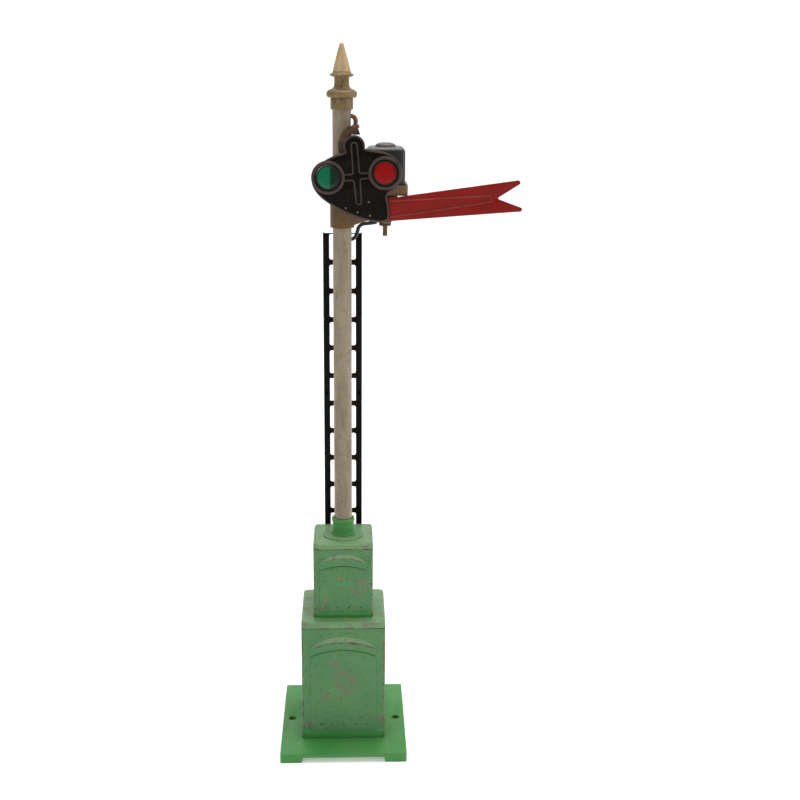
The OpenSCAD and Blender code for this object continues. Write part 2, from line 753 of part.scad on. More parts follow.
module lamp_housing() color("#17181a") translate([lamp_x, 0, housing_z]) difference() {
    corner = housing_w / 2 - roof_r;
    hull() at_corners(2 * corner) {
        cylinder(r = roof_r, h = 0.1, $fn = 32);
        translate([0, 0, housing_h - roof_r]) sphere(roof_r, $fn = 32);
    }
    translate([0, 0, -slop]) linear_extrude(housing_h - 1.2 + slop)
        round_rect(housing_w - 2 * housing_t, housing_w - 2 * housing_t, roof_r - housing_t);
    // window behind the lens
    translate([-lamp_shift, 0, lamp_z - housing_z]) bar_y(window_r, -housing_w, 0);
}

module lamp_cap() color("#2a2c30") translate([lamp_x, 0, housing_z + housing_h])
    rotate_extrude() polygon(concat([[0, 0]], bow([cap_r, 0], [0, cap_h], -0.6, 8)));

module bulb_base() color("goldenrod") translate([lamp_x, 0, bulb_foot]) {
    cylinder(r = base_r, h = 8.5);
    translate([0, 0, -0.8]) cylinder(r = 1.2, h = 0.8);
}

module bulb_glass() color("lightyellow") translate([lamp_x, 0, bulb_foot + 8.5]) rotate_extrude()
    polygon(concat(
        [[0, 0], [2.4, 0], [2.4, 1.4]],
        bow([2.6, 1.6], [bulb_r, 1.4 + bulb_r], -0.8, 6),
        bow([bulb_r, 1.5 + bulb_r], [0, 1.5 + 2 * bulb_r], -bulb_r * 0.29, 8)
    ));

// Screw socket let down through the tray, closed below
module lamp_socket() color("burlywood") translate([lamp_x, 0, socket_z]) difference() {
    top = tray_z + tray_floor + 2.2;
    union() {
        cylinder(r = socket_r - 0.05, h = top - socket_z);
        translate([0, 0, tray_z + tray_floor - socket_z]) cylinder(r = socket_r + 1, h = 0.8);
    }
    translate([0, 0, bulb_foot - socket_z - 0.9]) cylinder(r = base_r + run_fit, h = 20);
}

module socket_washer() color("sienna") translate([lamp_x, 0, socket_z - washer_t]) difference() {
    cylinder(r = 3.5, h = washer_t);
    translate([0, 0, -slop]) cylinder(r = stud_r, h = washer_t + 2 * slop);
}

// Ring tag that the lead is soldered to
module lamp_tag() color("gold")
    translate([lamp_x, 0, socket_z - washer_t - tag_t]) difference() {
        union() {
            cylinder(r = 2.9, h = tag_t);
            translate([-tag_reach, -1, 0]) cube([2.6, 2, tag_t]);
        }
        translate([0, 0, -slop]) cylinder(r = stud_r, h = tag_t + 2 * slop);
    }

module lamp_stud() color("peru") translate([lamp_x, 0, socket_z - stud_end])
    cylinder(r = stud_r, h = stud_end);

module lamp_nut() color("dimgray")
    translate([lamp_x, 0, socket_z - washer_t - tag_t - lamp_nut_h]) difference() {
        cylinder(r = lamp_nut_r, h = lamp_nut_h, $fn = 6);
        translate([0, 0, -slop]) cylinder(r = stud_r, h = lamp_nut_h + 2 * slop);
    }

// A tube swept along the route, with rings at even steps
module lead_tube(route, r, step) {
    legs = [for (i = [1:len(route) - 1]) norm(route[i] - route[i - 1])];
    counts = [for (l = legs) max(1, round(l / step))];
    points = concat([for (i = [0:len(legs) - 1]) each
        [for (k = [0:counts[i] - 1]) route[i] + (route[i + 1] - route[i]) * k / counts[i]]],
        [route[len(route) - 1]]);
    n = len(points);
    ring_points = [for (i = [0:n - 1]) each
        let (ahead = points[min(i + 1, n - 1)] - points[max(i - 1, 0)])
        let (a = ahead / norm(ahead), u = cross(a, [1, 0.02, 0.3]))
        let (side = u / norm(u), up = cross(a, side))
        [for (s = [0:lead_sides - 1]) let (t = s * 360 / lead_sides)
            points[i] + r * (side * cos(t) + up * sin(t))]];
    walls = [for (i = [0:n - 2], s = [0:lead_sides - 1])
        let (t = (s + 1) % lead_sides, low = i * lead_sides, high = low + lead_sides)
        [low + s, low + t, high + t, high + s]];
    first = [for (s = [lead_sides - 1:-1:0]) s];
    last = [for (s = [0:lead_sides - 1]) (n - 1) * lead_sides + s];
    polyhedron(ring_points, concat([first], walls, [last]), convexity = 10);
}

module lamp_lead() color("#181818") lead_tube(lead_route, lead_r, 5);

module post_bushes() color("#3a2a20") for (i = [-1:1])
    translate([i * post_pitch, post_y, base_h]) difference() {
        union() {
            cylinder(r = post_bush_r, h = bush_h);
            translate([0, 0, -base_t]) cylinder(r = post_hole_r, h = base_t);
        }
        translate([0, 0, -base_t - slop]) cylinder(r = post_r, h = base_t + bush_h + 2 * slop);
    }

module post_studs() color("gold") for (i = [-1:1])
    translate([i * post_pitch, post_y, base_h]) {
        translate([0, 0, -base_t]) cylinder(r = post_r, h = base_t + post_h);
        translate([0, 0, -base_t - 0.8]) cylinder(r = 2.6, h = 0.8);
    }

module thumb_nut(i) translate([i * post_pitch, post_y, base_h + bush_h + 0.4]) difference() {
    cylinder(r = nut_r, h = nut_h);
    translate([0, 0, -slop]) cylinder(r = post_r + run_fit, h = nut_h + 2 * slop);
    for (turn = [0:24:336]) rotate(turn) translate([nut_r + 0.2, 0, 0.8])
        cylinder(r = 0.5, h = nut_h, $fn = 16);
}

module thumb_nut_left() color("gold") thumb_nut(-1);

module thumb_nut_centre() color("gold") thumb_nut(0);

module thumb_nut_right() color("gold") thumb_nut(1);

base_plate();
base_screws();
lower_case();
lower_lid();
upper_case();
upper_lid();
tier_screws();
mast_collar();
mast_nut();
mast_tube();
finial();
finial_ferrule();
ladder_upper();
ladder_lower();
ladder_splices();
ladder_screw();
head_bracket();
pivot_bush();
pivot_shaft();
pivot_washer();
spectacle();
green_lens();
red_lens();
lens_rings();
arm_blade();
arm_rivets();
crank_pin();
link_plate();
operating_rod();
plunger();
coil_frame();
coil_bobbin();
coil_winding();
core_plug();
coil_screws();
lamp_tray();
lamp_housing();
lamp_cap();
bulb_glass();
bulb_base();
lamp_socket();
socket_washer();
lamp_tag();
lamp_stud();
lamp_nut();
lamp_lead();
post_bushes();
post_studs();
thumb_nut_left();
thumb_nut_centre();
thumb_nut_right();
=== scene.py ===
import math
import bmesh
import bpy
from mathutils import Matrix, Vector
from mathutils.geometry import tessellate_polygon


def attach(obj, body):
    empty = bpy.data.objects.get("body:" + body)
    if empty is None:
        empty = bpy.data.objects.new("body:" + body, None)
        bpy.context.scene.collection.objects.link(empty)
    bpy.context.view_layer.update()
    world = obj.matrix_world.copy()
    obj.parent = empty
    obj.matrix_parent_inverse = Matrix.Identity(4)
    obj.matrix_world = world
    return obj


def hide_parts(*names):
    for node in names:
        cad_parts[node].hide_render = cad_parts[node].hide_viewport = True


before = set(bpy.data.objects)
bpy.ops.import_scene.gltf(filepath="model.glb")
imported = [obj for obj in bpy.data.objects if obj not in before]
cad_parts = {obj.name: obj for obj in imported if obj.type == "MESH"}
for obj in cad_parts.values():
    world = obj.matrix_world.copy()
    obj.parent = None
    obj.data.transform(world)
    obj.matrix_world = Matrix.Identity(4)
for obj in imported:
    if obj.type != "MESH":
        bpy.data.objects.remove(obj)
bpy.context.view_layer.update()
scene = bpy.context.scene
mm = 0.001
print("frame loaded:", len(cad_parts), "nodes")

# The camera stands a little above the head and tilts down at the pedestal
cameraView = {
    "place": (0.00393, -0.6503, 0.3678),
    "tiltDown": math.radians(15.1),
    "turnRight": math.radians(2.33),
    "roll": math.radians(-0.5),
    "lens": 57.04,
}


def addCamera(view):
    tilt, turn, roll = view["tiltDown"], view["turnRight"], view["roll"]
    flat = math.cos(tilt)
    ahead = Vector((math.sin(turn) * flat, math.cos(turn) * flat, -math.sin(tilt)))
    level = Vector((math.cos(turn), -math.sin(turn), 0))
    down = ahead.cross(level)
    if down.z > 0:
        down = -down
    right = level * math.cos(roll) + down * math.sin(roll)
    up = level * math.sin(roll) - down * math.cos(roll)
    data = bpy.data.cameras.new("camera")
    data.lens = view["lens"]
    data.sensor_width = 36
    data.clip_start = 0.01
    camera = bpy.data.objects.new("camera", data)
    turned = Matrix((right, up, -ahead)).transposed().to_4x4()
    camera.matrix_world = Matrix.Translation(view["place"]) @ turned
    scene.collection.objects.link(camera)
    scene.camera = camera


addCamera(cameraView)
print("camera set")


# Every shape below is drawn in millimetres; finished() brings it to metres
def linked(obj):
    scene.collection.objects.link(obj)
    return obj


def meshObject(name, verts, faces, smoothAngle=32):
    mesh = bpy.data.meshes.new(name)
    mesh.from_pydata([tuple(v) for v in verts], [], faces)
    mesh.validate()
    finishShading(mesh, smoothAngle)
    return linked(bpy.data.objects.new(name, mesh))


def finishShading(mesh, smoothAngle=32):
    bm = bmesh.new()
    bm.from_mesh(mesh)
    bmesh.ops.remove_doubles(bm, verts=bm.verts, dist=1e-4)
    bmesh.ops.recalc_face_normals(bm, faces=bm.faces)
    bm.to_mesh(mesh)
    bm.free()
    mesh.shade_smooth()
    mesh.set_sharp_from_angle(angle=math.radians(smoothAngle))


# The evaluated mesh of a curve or of an object with modifiers, as a plain mesh object
def settled(obj, name, smoothAngle=32):
    bpy.context.view_layer.update()
    graph = bpy.context.evaluated_depsgraph_get()
    mesh = bpy.data.meshes.new_from_object(obj.evaluated_get(graph))
    mesh.name = name
    mesh.transform(obj.matrix_world)
    bpy.data.objects.remove(obj)
    finishShading(mesh, smoothAngle)
    return linked(bpy.data.objects.new(name, mesh))


def joined(name, parts, smoothAngle=32):
    bm = bmesh.new()
    for part in parts:
        bm.from_mesh(part.data)
        bpy.data.objects.remove(part)
    mesh = bpy.data.meshes.new(name)
    bm.to_mesh(mesh)
    bm.free()
    for _ in range(5):
        mesh.materials.append(None)
    mesh.shade_smooth()
    mesh.set_sharp_from_angle(angle=math.radians(smoothAngle))
    return linked(bpy.data.objects.new(name, mesh))


def toned(piece, index):
    for polygon in piece.data.polygons:
        polygon.material_index = index
    return piece


def placed(piece, matrix):
    piece.data.transform(matrix)
    return piece


# Quads between closed loops of equal length; the last loop joins the first when ringed
def loft(name, loops, ringed=False, smoothAngle=32):
    count = len(loops[0])
    verts = [point for loop in loops for point in loop]
    pairs = len(loops) if ringed else len(loops) - 1
    faces = []
    for i in range(pairs):
        low, high = i * count, (i + 1) % len(loops) * count
        for k in range(count):
            n = (k + 1) % count
            faces.append((low + k, low + n, high + n, high + k))
    if not ringed:
        faces.append(tuple(range(count)))
        faces.append(tuple(range((len(loops) - 1) * count, len(loops) * count)))
    return meshObject(name, verts, faces, smoothAngle)


# A square loop with round corners, round (x, y) at height z
def squareLoop(half, radius, z, x=0, y=0, steps=8):
    points = []
    for quarter in range(4):
        side = math.radians(90 * quarter + 45)
        cx = math.copysign(half - radius, math.cos(side))
        cy = math.copysign(half - radius, math.sin(side))
        for i in range(steps + 1):
            a = math.radians(90 * quarter + 90 * i / steps)
            points.append((x + cx + radius * math.cos(a), y + cy + radius * math.sin(a), z))
    return points


# A round loop with as many points as a square one
def roundLoop(radius, z, x=0, y=0, steps=8):
    points = []
    for quarter in range(4):
        for i in range(steps + 1):
            a = math.radians(90 * quarter + 90 * (i + 0.5) / (steps + 1))
            points.append((x + radius * math.cos(a), y + radius * math.sin(a), z))
    return points


# A profile of (radius, height) turned round an upright axis at (x, y)
def turned(name, profile, x=0, y=0, sides=72, smoothAngle=32):
    verts, faces, rows = [], [], []
    for radius, z in profile:
        if radius < 1e-6:
            rows.append([len(verts)])
            verts.append((x, y, z))
            continue
        rows.append(list(range(len(verts), len(verts) + sides)))
        for k in range(sides):
            a = 2 * math.pi * k / sides
            verts.append((x + radius * math.cos(a), y + radius * math.sin(a), z))
    for low, high in zip(rows, rows[1:]):
        for k in range(sides):
            n = (k + 1) % sides
            face = [low[k % len(low)], low[n % len(low)], high[n % len(high)], high[k % len(high)]]
            face = list(dict.fromkeys(face))
            if len(face) > 2:
                faces.append(face)
    return meshObject(name, verts, faces, smoothAngle)


def arcPoints(cx, cz, radius, fromDeg, toDeg, steps):
    return [
        (cx + radius * math.cos(math.radians(fromDeg + (toDeg - fromDeg) * i / steps)),
         cz + radius * math.sin(math.radians(fromDeg + (toDeg - fromDeg) * i / steps)))
        for i in range(steps + 1)
    ]


# Points of an arc from a to b that bows to the left of the way by rise
def bow(a, b, rise, steps=10):
    a, b = Vector(a), Vector(b)
    span = (b - a).length
    along = (b - a) / span
    side = Vector((-along.y, along.x)) * (1 if rise > 0 else -1)
    deep = abs(rise)
    radius = (span * span / 4 + deep * deep) / (2 * deep)
    half = math.asin(min(1, span / 2 / radius))
    centre = (a + b) / 2 + side * (deep - radius)
    points = []
    for i in range(steps + 1):
        t = half * (2 * i / steps - 1)
        points.append(tuple(centre + radius * (side * math.cos(t) + along * math.sin(t))))
    return points


# A round bar along 3-D points
def tube(name, points, radius, closed=False, flat=1.0, rings=3):
    curve = bpy.data.curves.new(name, "CURVE")
    curve.dimensions = "3D"
    spline = curve.splines.new("POLY")
    spline.points.add(len(points) - 1)
    for target, point in zip(spline.points, points):
        target.co = (*point, 1)
    spline.use_cyclic_u = closed
    curve.bevel_depth = radius
    curve.bevel_resolution = rings
    curve.use_fill_caps = True
    return settled(linked(bpy.data.objects.new(name + "Curve", curve)), name, 60)


# A smooth path through given points
def smoothPath(points, steps=6):
    points = [Vector(p) for p in points]
    path = []
    for i in range(len(points) - 1):
        before = points[max(i - 1, 0)]
        here, there = points[i], points[i + 1]
        after = points[min(i + 2, len(points) - 1)]
        for k in range(steps):
            t = k / steps
            path.append(0.5 * (
                2 * here + (there - before) * t
                + (2 * before - 5 * here + 4 * there - after) * t * t
                + (3 * here - before - 3 * there + after) * t * t * t))
    path.append(points[-1])
    return path


def signedArea(outline):
    return sum(a[0] * b[1] - b[0] * a[1] for a, b in zip(outline, outline[1:] + outline[:1])) / 2


# Left-hand offset of a closed outline
def inset(outline, distance):
    moved = []
    for i, point in enumerate(outline):
        before, after = Vector(outline[i - 1]), Vector(outline[(i + 1) % len(outline)])
        a, b = (Vector(point) - before).normalized(), (after - Vector(point)).normalized()
        mid = Vector((-(a + b).y, (a + b).x))
        if mid.length < 1e-6:
            mid = Vector((-a.y, a.x))
        mid.normalize()
        reach = distance / max(0.35, mid.dot(Vector((-a.y, a.x))))
        moved.append((point[0] + mid.x * reach, point[1] + mid.y * reach))
    return moved


# A flat plate drawn in X and Z with holes, thick from front to back in Y, with rounded edges
def plate(name, outlines, front, back, edge, matrix=Matrix(), smoothAngle=40):
    layers = [(edge, front), (edge * 0.3, front + edge * 0.3), (0, front + edge),
              (0, back - edge), (edge * 0.3, back - edge * 0.3), (edge, back)]
    rings = []
    for k, outline in enumerate(outlines):
        outline = [tuple(p) for p in outline]
        if (signedArea(outline) > 0) != (k == 0):
            outline.reverse()
        rings.append(outline)
    verts, faces, starts = [], [], []
    for depth, y in layers:
        starts.append(len(verts))
        for outline in rings:
            verts += [(x, y, z) for x, z in inset(outline, depth)]
    for low, high in zip(starts, starts[1:]):
        at = 0
        for outline in rings:
            for k in range(len(outline)):
                n = (k + 1) % len(outline)
                faces.append((low + at + k, low + at + n, high + at + n, high + at + k))
            at += len(outline)
    walls = len(faces)
    for start, layer in ((starts[0], layers[0]), (starts[-1], layers[-1])):
        flat = [[Vector((x, z, 0)) for x, z in inset(outline, layer[0])] for outline in rings]
        for corner in tessellate_polygon(flat):
            faces.append(tuple(start + c for c in corner))
    mesh = bpy.data.meshes.new(name)
    mesh.from_pydata(verts, [], faces)
    for k, polygon in enumerate(mesh.polygons):
        polygon.material_index = 1 if k < walls else 0
    mesh.transform(matrix)
    mesh.materials.append(None)
    mesh.materials.append(None)
    finishShading(mesh, smoothAngle)
    return linked(bpy.data.objects.new(name, mesh))


# A CAD node's own shape with its sharp edges softened; the soft edges take the second material
def softened(node, name, width, steps=2, angle=28):
    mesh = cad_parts[node].data.copy()
    mesh.materials.clear()
    if "custom_normal" in mesh.attributes:
        mesh.attributes.remove(mesh.attributes["custom_normal"])
    bm = bmesh.new()
    bm.from_mesh(mesh)
    bmesh.ops.scale(bm, vec=(1000, 1000, 1000), verts=bm.verts)
    bmesh.ops.remove_doubles(bm, verts=bm.verts, dist=2e-3)
    bmesh.ops.dissolve_limit(bm, angle_limit=math.radians(0.6), verts=bm.verts, edges=bm.edges)
    bmesh.ops.recalc_face_normals(bm, faces=bm.faces)
    bm.to_mesh(mesh)
    bm.free()
    obj = linked(bpy.data.objects.new(name + "Rough", mesh))
    bevel = obj.modifiers.new("edge", "BEVEL")
    bevel.width = width
    bevel.segments = steps
    bevel.limit_method = "ANGLE"
    bevel.angle_limit = math.radians(angle)
    bevel.material = 1
    mesh.materials.append(None)
    mesh.materials.append(None)
    return settled(obj, name)


def finished(piece, body, materials, replaced=()):
    piece.data.transform(Matrix.Scale(mm, 4))
    kept = [polygon.material_index for polygon in piece.data.polygons]
    piece.data.materials.clear()
    for material in materials:
        piece.data.materials.append(material)
    for polygon, index in zip(piece.data.polygons, kept):
        polygon.material_index = min(index, len(materials) - 1)
    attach(piece, body)
    if replaced:
        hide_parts(*replaced)
    return piece


def painted(node, material):
    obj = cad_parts[node]
    if not obj.material_slots:
        obj.data.materials.append(material)
    for socket in obj.material_slots:
        socket.material = material


# One material in the making: short calls that add shader nodes and join them
class Finish:
    def __init__(self, name):
        self.material = bpy.data.materials.new(name)
        self.material.use_nodes = True
        self.tree = self.material.node_tree
        self.shader = self.tree.nodes["Principled BSDF"]
        self.place = self.add("ShaderNodeTexCoord").outputs["Object"]

    def add(self, kind, settings=None, **inputs):
        made = self.tree.nodes.new(kind)
        for key, value in (settings or {}).items():
            setattr(made, key, value)
        for key, value in inputs.items():
            self.feed(made.inputs[key if key in made.inputs else int(key[1:])], value)
        return made

    def feed(self, socket, value):
        if isinstance(value, bpy.types.NodeSocket):
            self.tree.links.new(value, socket)
        else:
            socket.default_value = value

    def set(self, **inputs):
        for key, value in inputs.items():
            self.feed(self.shader.inputs[key.replace("_", " ")], value)

    def noise(self, scale, detail=4.0, rough=0.55, stretch=None, warp=0.0):
        place = self.place
        if stretch:
            place = self.add("ShaderNodeMapping", Vector=place, Scale=stretch).outputs[0]
        return self.add(
            "ShaderNodeTexNoise", Vector=place, Scale=scale, Detail=detail,
            Roughness=rough, Distortion=warp).outputs[0]

    def band(self, value, low, high):
        made = self.add("ShaderNodeMapRange", Value=value)
        made.inputs["From Min"].default_value = low
        made.inputs["From Max"].default_value = high
        made.inputs["To Min"].default_value = 0.0
        made.inputs["To Max"].default_value = 1.0
        made.clamp = True
        return made.outputs[0]

    def math(self, operation, a, b=0.5):
        made = self.add("ShaderNodeMath", {"operation": operation})
        self.feed(made.inputs[0], a)
        self.feed(made.inputs[1], b)
        return made.outputs[0]

    def mix(self, factor, a, b):
        made = self.add("ShaderNodeMix", {"data_type": "RGBA"})
        self.feed(made.inputs[0], factor)
        self.feed(made.inputs[6], (*a, 1) if isinstance(a, tuple) else a)
        self.feed(made.inputs[7], (*b, 1) if isinstance(b, tuple) else b)
        return made.outputs[2]

    def span(self, factor, a, b):
        made = self.add("ShaderNodeMix", {"data_type": "FLOAT"})
        self.feed(made.inputs[0], factor)
        self.feed(made.inputs[2], a)
        self.feed(made.inputs[3], b)
        return made.outputs[0]

    def bump(self, height, strength, distance=0.0002, under=None):
        made = self.add("ShaderNodeBump", Height=height, Strength=strength, Distance=distance)
        if under is not None:
            self.feed(made.inputs["Normal"], under)
        return made.outputs[0]

    def split(self):
        return self.add("ShaderNodeSeparateXYZ", Vector=self.place)


# What an enamel has unless its own dictionary says otherwise; scales are per metre
enamelDefaults = {
    "driftScale": 60, "grimeScale": 260, "grimeFrom": 0.56, "grimeMix": 0.6, "chipScale": 110,
    "speckScale": 1500, "speckFrom": 0.74, "speckMix": 0.7, "pitScale": 760, "pitFrom": 0.615, "pitMix": 0.75,
    "fleckScale": 1500, "patchMix": 0.95, "patches": (), "spots": (), "peel": 0.12, "dents": 0.1,
    "bareRough": 0.65, "specular": 0.5, "metal": 0.0,
}


# How far each shaded point lies from a spot given in millimetres
def distanceTo(f, spot):
    away = f.add("ShaderNodeVectorMath", {"operation": "DISTANCE"})
    f.feed(away.inputs[0], f.place)
    away.inputs[1].default_value = [v * mm for v in spot]
    return away.outputs["Value"]


# Enamel on metal: colour drift, grime, pits, chips to the bare metal, worn patches (on the lids some of them
# are painted glints), fine orange peel
def enamel(name, look):
    look = {**enamelDefaults, **look}
    f = Finish(name)
    drift = f.band(f.noise(look["driftScale"], 3), 0.3, 0.7)
    colour = f.mix(drift, look["colour"], look["faded"])
    grime = f.band(f.noise(look["grimeScale"], 6, 0.7), look["grimeFrom"], 0.78)
    colour = f.mix(f.math("MULTIPLY", grime, look["grimeMix"]), colour, look["grime"])
    broad = f.noise(look["chipScale"], 2, 0.5, warp=0.4)
    fine = f.noise(look["chipScale"] * 9, 5, 0.75)
    blend = f.math("ADD", f.math("MULTIPLY", broad, 0.62), f.math("MULTIPLY", fine, 0.38))
    chips = f.band(blend, look["chipFrom"], look["chipFrom"] + 0.02)
    specks = f.band(f.noise(look["speckScale"], 2, 0.5), look["speckFrom"], look["speckFrom"] + 0.02)
    wearAndGlint = f.math("MAXIMUM", chips, f.math("MULTIPLY", specks, look["speckMix"]))
    flecks = f.noise(look["fleckScale"], 6, 0.8)
    pits = f.band(f.noise(look["pitScale"], 4, 0.66), look["pitFrom"], look["pitFrom"] + 0.03)
    colour = f.mix(f.math("MULTIPLY", pits, look["pitMix"]), colour, look.get("pit", look["grime"]))
    # Each patch bares the metal through the paint; the lid's two front-corner patches are painted glints
    for spot, reach in look["patches"]:
        near = f.math("SUBTRACT", 1.0, f.math("DIVIDE", distanceTo(f, spot), reach * mm))
        near = f.math("MULTIPLY", f.band(near, 0.0, 1.0), 0.24)
        patch = f.band(f.math("ADD", near, f.math("MULTIPLY", flecks, 1.15)), 0.70, 0.80)
        wearAndGlint = f.math("MAXIMUM", wearAndGlint, f.math("MULTIPLY", patch, look["patchMix"]))
    bare = f.mix(flecks, look["bare"], look.get("bareLight", look["bare"]))
    colour = f.mix(wearAndGlint, colour, bare)
    for spot, reach, tint in look["spots"]:
        colour = f.mix(f.band(distanceTo(f, spot), reach * mm, reach * mm * 0.6), colour, tint)
    rough = f.span(drift, look["rough"] - 0.06, look["rough"] + 0.08)
    rough = f.span(wearAndGlint, rough, look["bareRough"])
    peel = f.bump(f.noise(1800, 3), look["peel"], 0.00006)
    dents = f.bump(f.noise(130, 2), look["dents"], 0.0006, peel)
    relief = f.bump(f.math("SUBTRACT", 1.0, wearAndGlint), 0.5, 0.00005, dents)
    f.set(Base_Color=colour, Roughness=rough, Normal=relief)
    f.shader.inputs["Specular IOR Level"].default_value = look["specular"]
    f.shader.inputs["Metallic"].default_value = look["metal"]
    return f.material


sage = {
    "colour": (0.076, 0.215, 0.082), "faded": (0.104, 0.240, 0.100), "grime": (0.085, 0.125, 0.055),
    "bare": (0.105, 0.070, 0.048), "bareLight": (0.27, 0.20, 0.175), "pit": (0.035, 0.05, 0.02),
    "chipFrom": 0.66, "rough": 0.5, "speckFrom": 0.72, "specular": 0.18,
}
sageEdge = dict(
    sage, colour=(0.115, 0.225, 0.10), faded=(0.15, 0.25, 0.125), chipFrom=0.56, grimeFrom=0.48,
    grimeMix=0.85, speckFrom=0.62, pitFrom=0.56, bare=(0.075, 0.048, 0.032),
    bareLight=(0.14, 0.095, 0.07), patchMix=0.9)
lidGreen = dict(
    sage, colour=(0.110, 0.250, 0.092), faded=(0.160, 0.285, 0.125), grimeMix=0.75, chipFrom=0.66, rough=0.42,
    specular=0.45)
bright = dict(
    sage, colour=(0.050, 0.235, 0.052), faded=(0.080, 0.250, 0.070), grime=(0.10, 0.17, 0.055),
    chipFrom=0.74, grimeMix=0.45, grimeScale=60, speckFrom=0.78, pitFrom=0.73, rough=0.4, specular=0.22)
brightEdge = dict(bright, colour=(0.040, 0.18, 0.045), chipFrom=0.60, grimeMix=0.6, speckFrom=0.68)
black = {
    "colour": (0.0045, 0.0036, 0.0036), "faded": (0.009, 0.007, 0.006), "grime": (0.020, 0.013, 0.009),
    "bare": (0.055, 0.038, 0.028), "chipFrom": 0.70, "rough": 0.5, "speckFrom": 0.74, "grimeMix": 0.45,
    "specular": 0.06,
}
blackEdge = dict(black, colour=(0.018, 0.014, 0.012), faded=(0.036, 0.028, 0.023), chipFrom=0.60, rough=0.55)
gilt = {
    "colour": (0.20, 0.135, 0.058), "faded": (0.27, 0.19, 0.092), "grime": (0.06, 0.035, 0.015),
    "bare": (0.09, 0.05, 0.024), "chipFrom": 0.66, "rough": 0.46, "metal": 0.35, "grimeMix": 0.75,
    "grimeFrom": 0.5, "grimeScale": 180, "speckFrom": 0.72, "specular": 0.3,
}
giltPale = dict(
    gilt, colour=(0.45, 0.32, 0.165), faded=(0.54, 0.39, 0.215), grime=(0.25, 0.16, 0.08), grimeMix=0.5)
giltDark = dict(gilt, colour=(0.105, 0.060, 0.022), faded=(0.14, 0.084, 0.036), grimeMix=0.8)
brickRed = {
    "colour": (0.205, 0.009, 0.006), "faded": (0.245, 0.012, 0.008), "grime": (0.07, 0.007, 0.005),
    "bare": (0.09, 0.04, 0.03), "chipFrom": 0.71, "rough": 0.45, "speckFrom": 0.75, "grimeMix": 0.5,
    "specular": 0.14,
}
redEdge = dict(brickRed, colour=(0.21, 0.022, 0.015), faded=(0.27, 0.05, 0.038), chipFrom=0.62)
brightPaint = enamel("brightPaint", bright)
brightEdgePaint = enamel("brightEdgePaint", brightEdge)
blackPaint = enamel("blackPaint", black)
blackEdgePaint = enamel("blackEdgePaint", blackEdge)
giltPaint = enamel("giltPaint", gilt)
giltPalePaint = enamel("giltPalePaint", giltPale)
giltDarkPaint = enamel("giltDarkPaint", giltDark)
redPaint = enamel("redPaint", brickRed)
redEdgePaint = enamel("redEdgePaint", redEdge)


# Cream mast paint, stained brown in streaks and finely pitted
def creamPaint():
    f = Finish("creamPaint")
    streaks = f.band(f.noise(160, 5, 0.65, stretch=(1, 1, 0.22)), 0.38, 0.68)
    colour = f.mix(streaks, (0.31, 0.25, 0.17), (0.20, 0.15, 0.09))
    blots = f.band(f.noise(420, 6, 0.75), 0.52, 0.70)
    colour = f.mix(f.math("MULTIPLY", blots, 0.75), colour, (0.14, 0.09, 0.042))
    pits = f.band(f.noise(1700, 4, 0.7), 0.66, 0.70)
    colour = f.mix(pits, colour, (0.10, 0.07, 0.045))
    rough = f.span(streaks, 0.42, 0.58)
    relief = f.bump(f.math("SUBTRACT", 1.0, pits), 0.5, 0.00008, f.bump(f.noise(900, 4), 0.2, 0.00008))
    f.set(Base_Color=colour, Roughness=rough, Normal=relief)
    f.shader.inputs["Specular IOR Level"].default_value = 0.45
    return f.material


# Bare or plated metal with fine brushing and tarnish
def bareMetal(name, colour, tarnish, rough, metal=1.0):
    f = Finish(name)
    stain = f.band(f.noise(300, 5, 0.65), 0.4, 0.68)
    shade = f.mix(stain, colour, tarnish)
    brushing = f.noise(900, 3, 0.6, stretch=(1, 1, 0.15))
    f.set(Base_Color=shade, Roughness=f.span(stain, rough, rough + 0.2),
          Normal=f.bump(brushing, 0.25, 0.00005))
    f.shader.inputs["Metallic"].default_value = metal
    return f.material


# Fibre or phenolic: dull, with short flecks
def fibreBoard(name, colour, fleck):
    f = Finish(name)
    flecks = f.band(f.noise(1200, 5, 0.7, stretch=(1, 1, 0.4)), 0.5, 0.65)
    f.set(Base_Color=f.mix(flecks, colour, fleck), Roughness=f.span(flecks, 0.5, 0.7))
    f.set(Normal=f.bump(flecks, 0.2, 0.00005))
    return f.material


# Coil: enamelled wire in close turns, shown by fine rings of painted shade between the turns and painted
# highlight on each turn
def coilWire():
    f = Finish("coilWire")
    turns = f.math("SINE", f.math("MULTIPLY", f.split().outputs["Z"], 12566.0))
    turnShadeAndHighlight = f.band(turns, -0.9, 0.6)
    f.set(Base_Color=f.mix(turnShadeAndHighlight, (0.10, 0.03, 0.012), (0.42, 0.15, 0.05)))
    f.set(Roughness=f.span(turnShadeAndHighlight, 0.5, 0.3), Normal=f.bump(turns, 0.6, 0.0001))
    f.shader.inputs["Metallic"].default_value = 0.6
    return f.material


# Coloured or clear glass with a trace of dust
def glass(name, colour, through, rough=0.06, dust=0.05):
    f = Finish(name)
    film = f.band(f.noise(500, 5, 0.7), 0.45, 0.8)
    f.set(Base_Color=f.mix(f.math("MULTIPLY", film, dust), colour, (0.5, 0.45, 0.4)))
    f.set(Roughness=f.span(film, rough, rough + 0.12), Normal=f.bump(f.noise(260, 2), 0.06, 0.0002))
    f.shader.inputs["Transmission Weight"].default_value = through
    f.shader.inputs["IOR"].default_value = 1.45
    f.shader.inputs["Specular IOR Level"].default_value = 0.25
    return f.material


def rubberLead():
    f = Finish("rubberLead")
    weave = f.noise(1400, 4, 0.7)
    f.set(Base_Color=f.mix(f.band(weave, 0.4, 0.7), (0.012, 0.010, 0.009), (0.035, 0.028, 0.022)))
    f.set(Roughness=f.span(weave, 0.5, 0.75), Normal=f.bump(weave, 0.3, 0.00006))
    return f.material


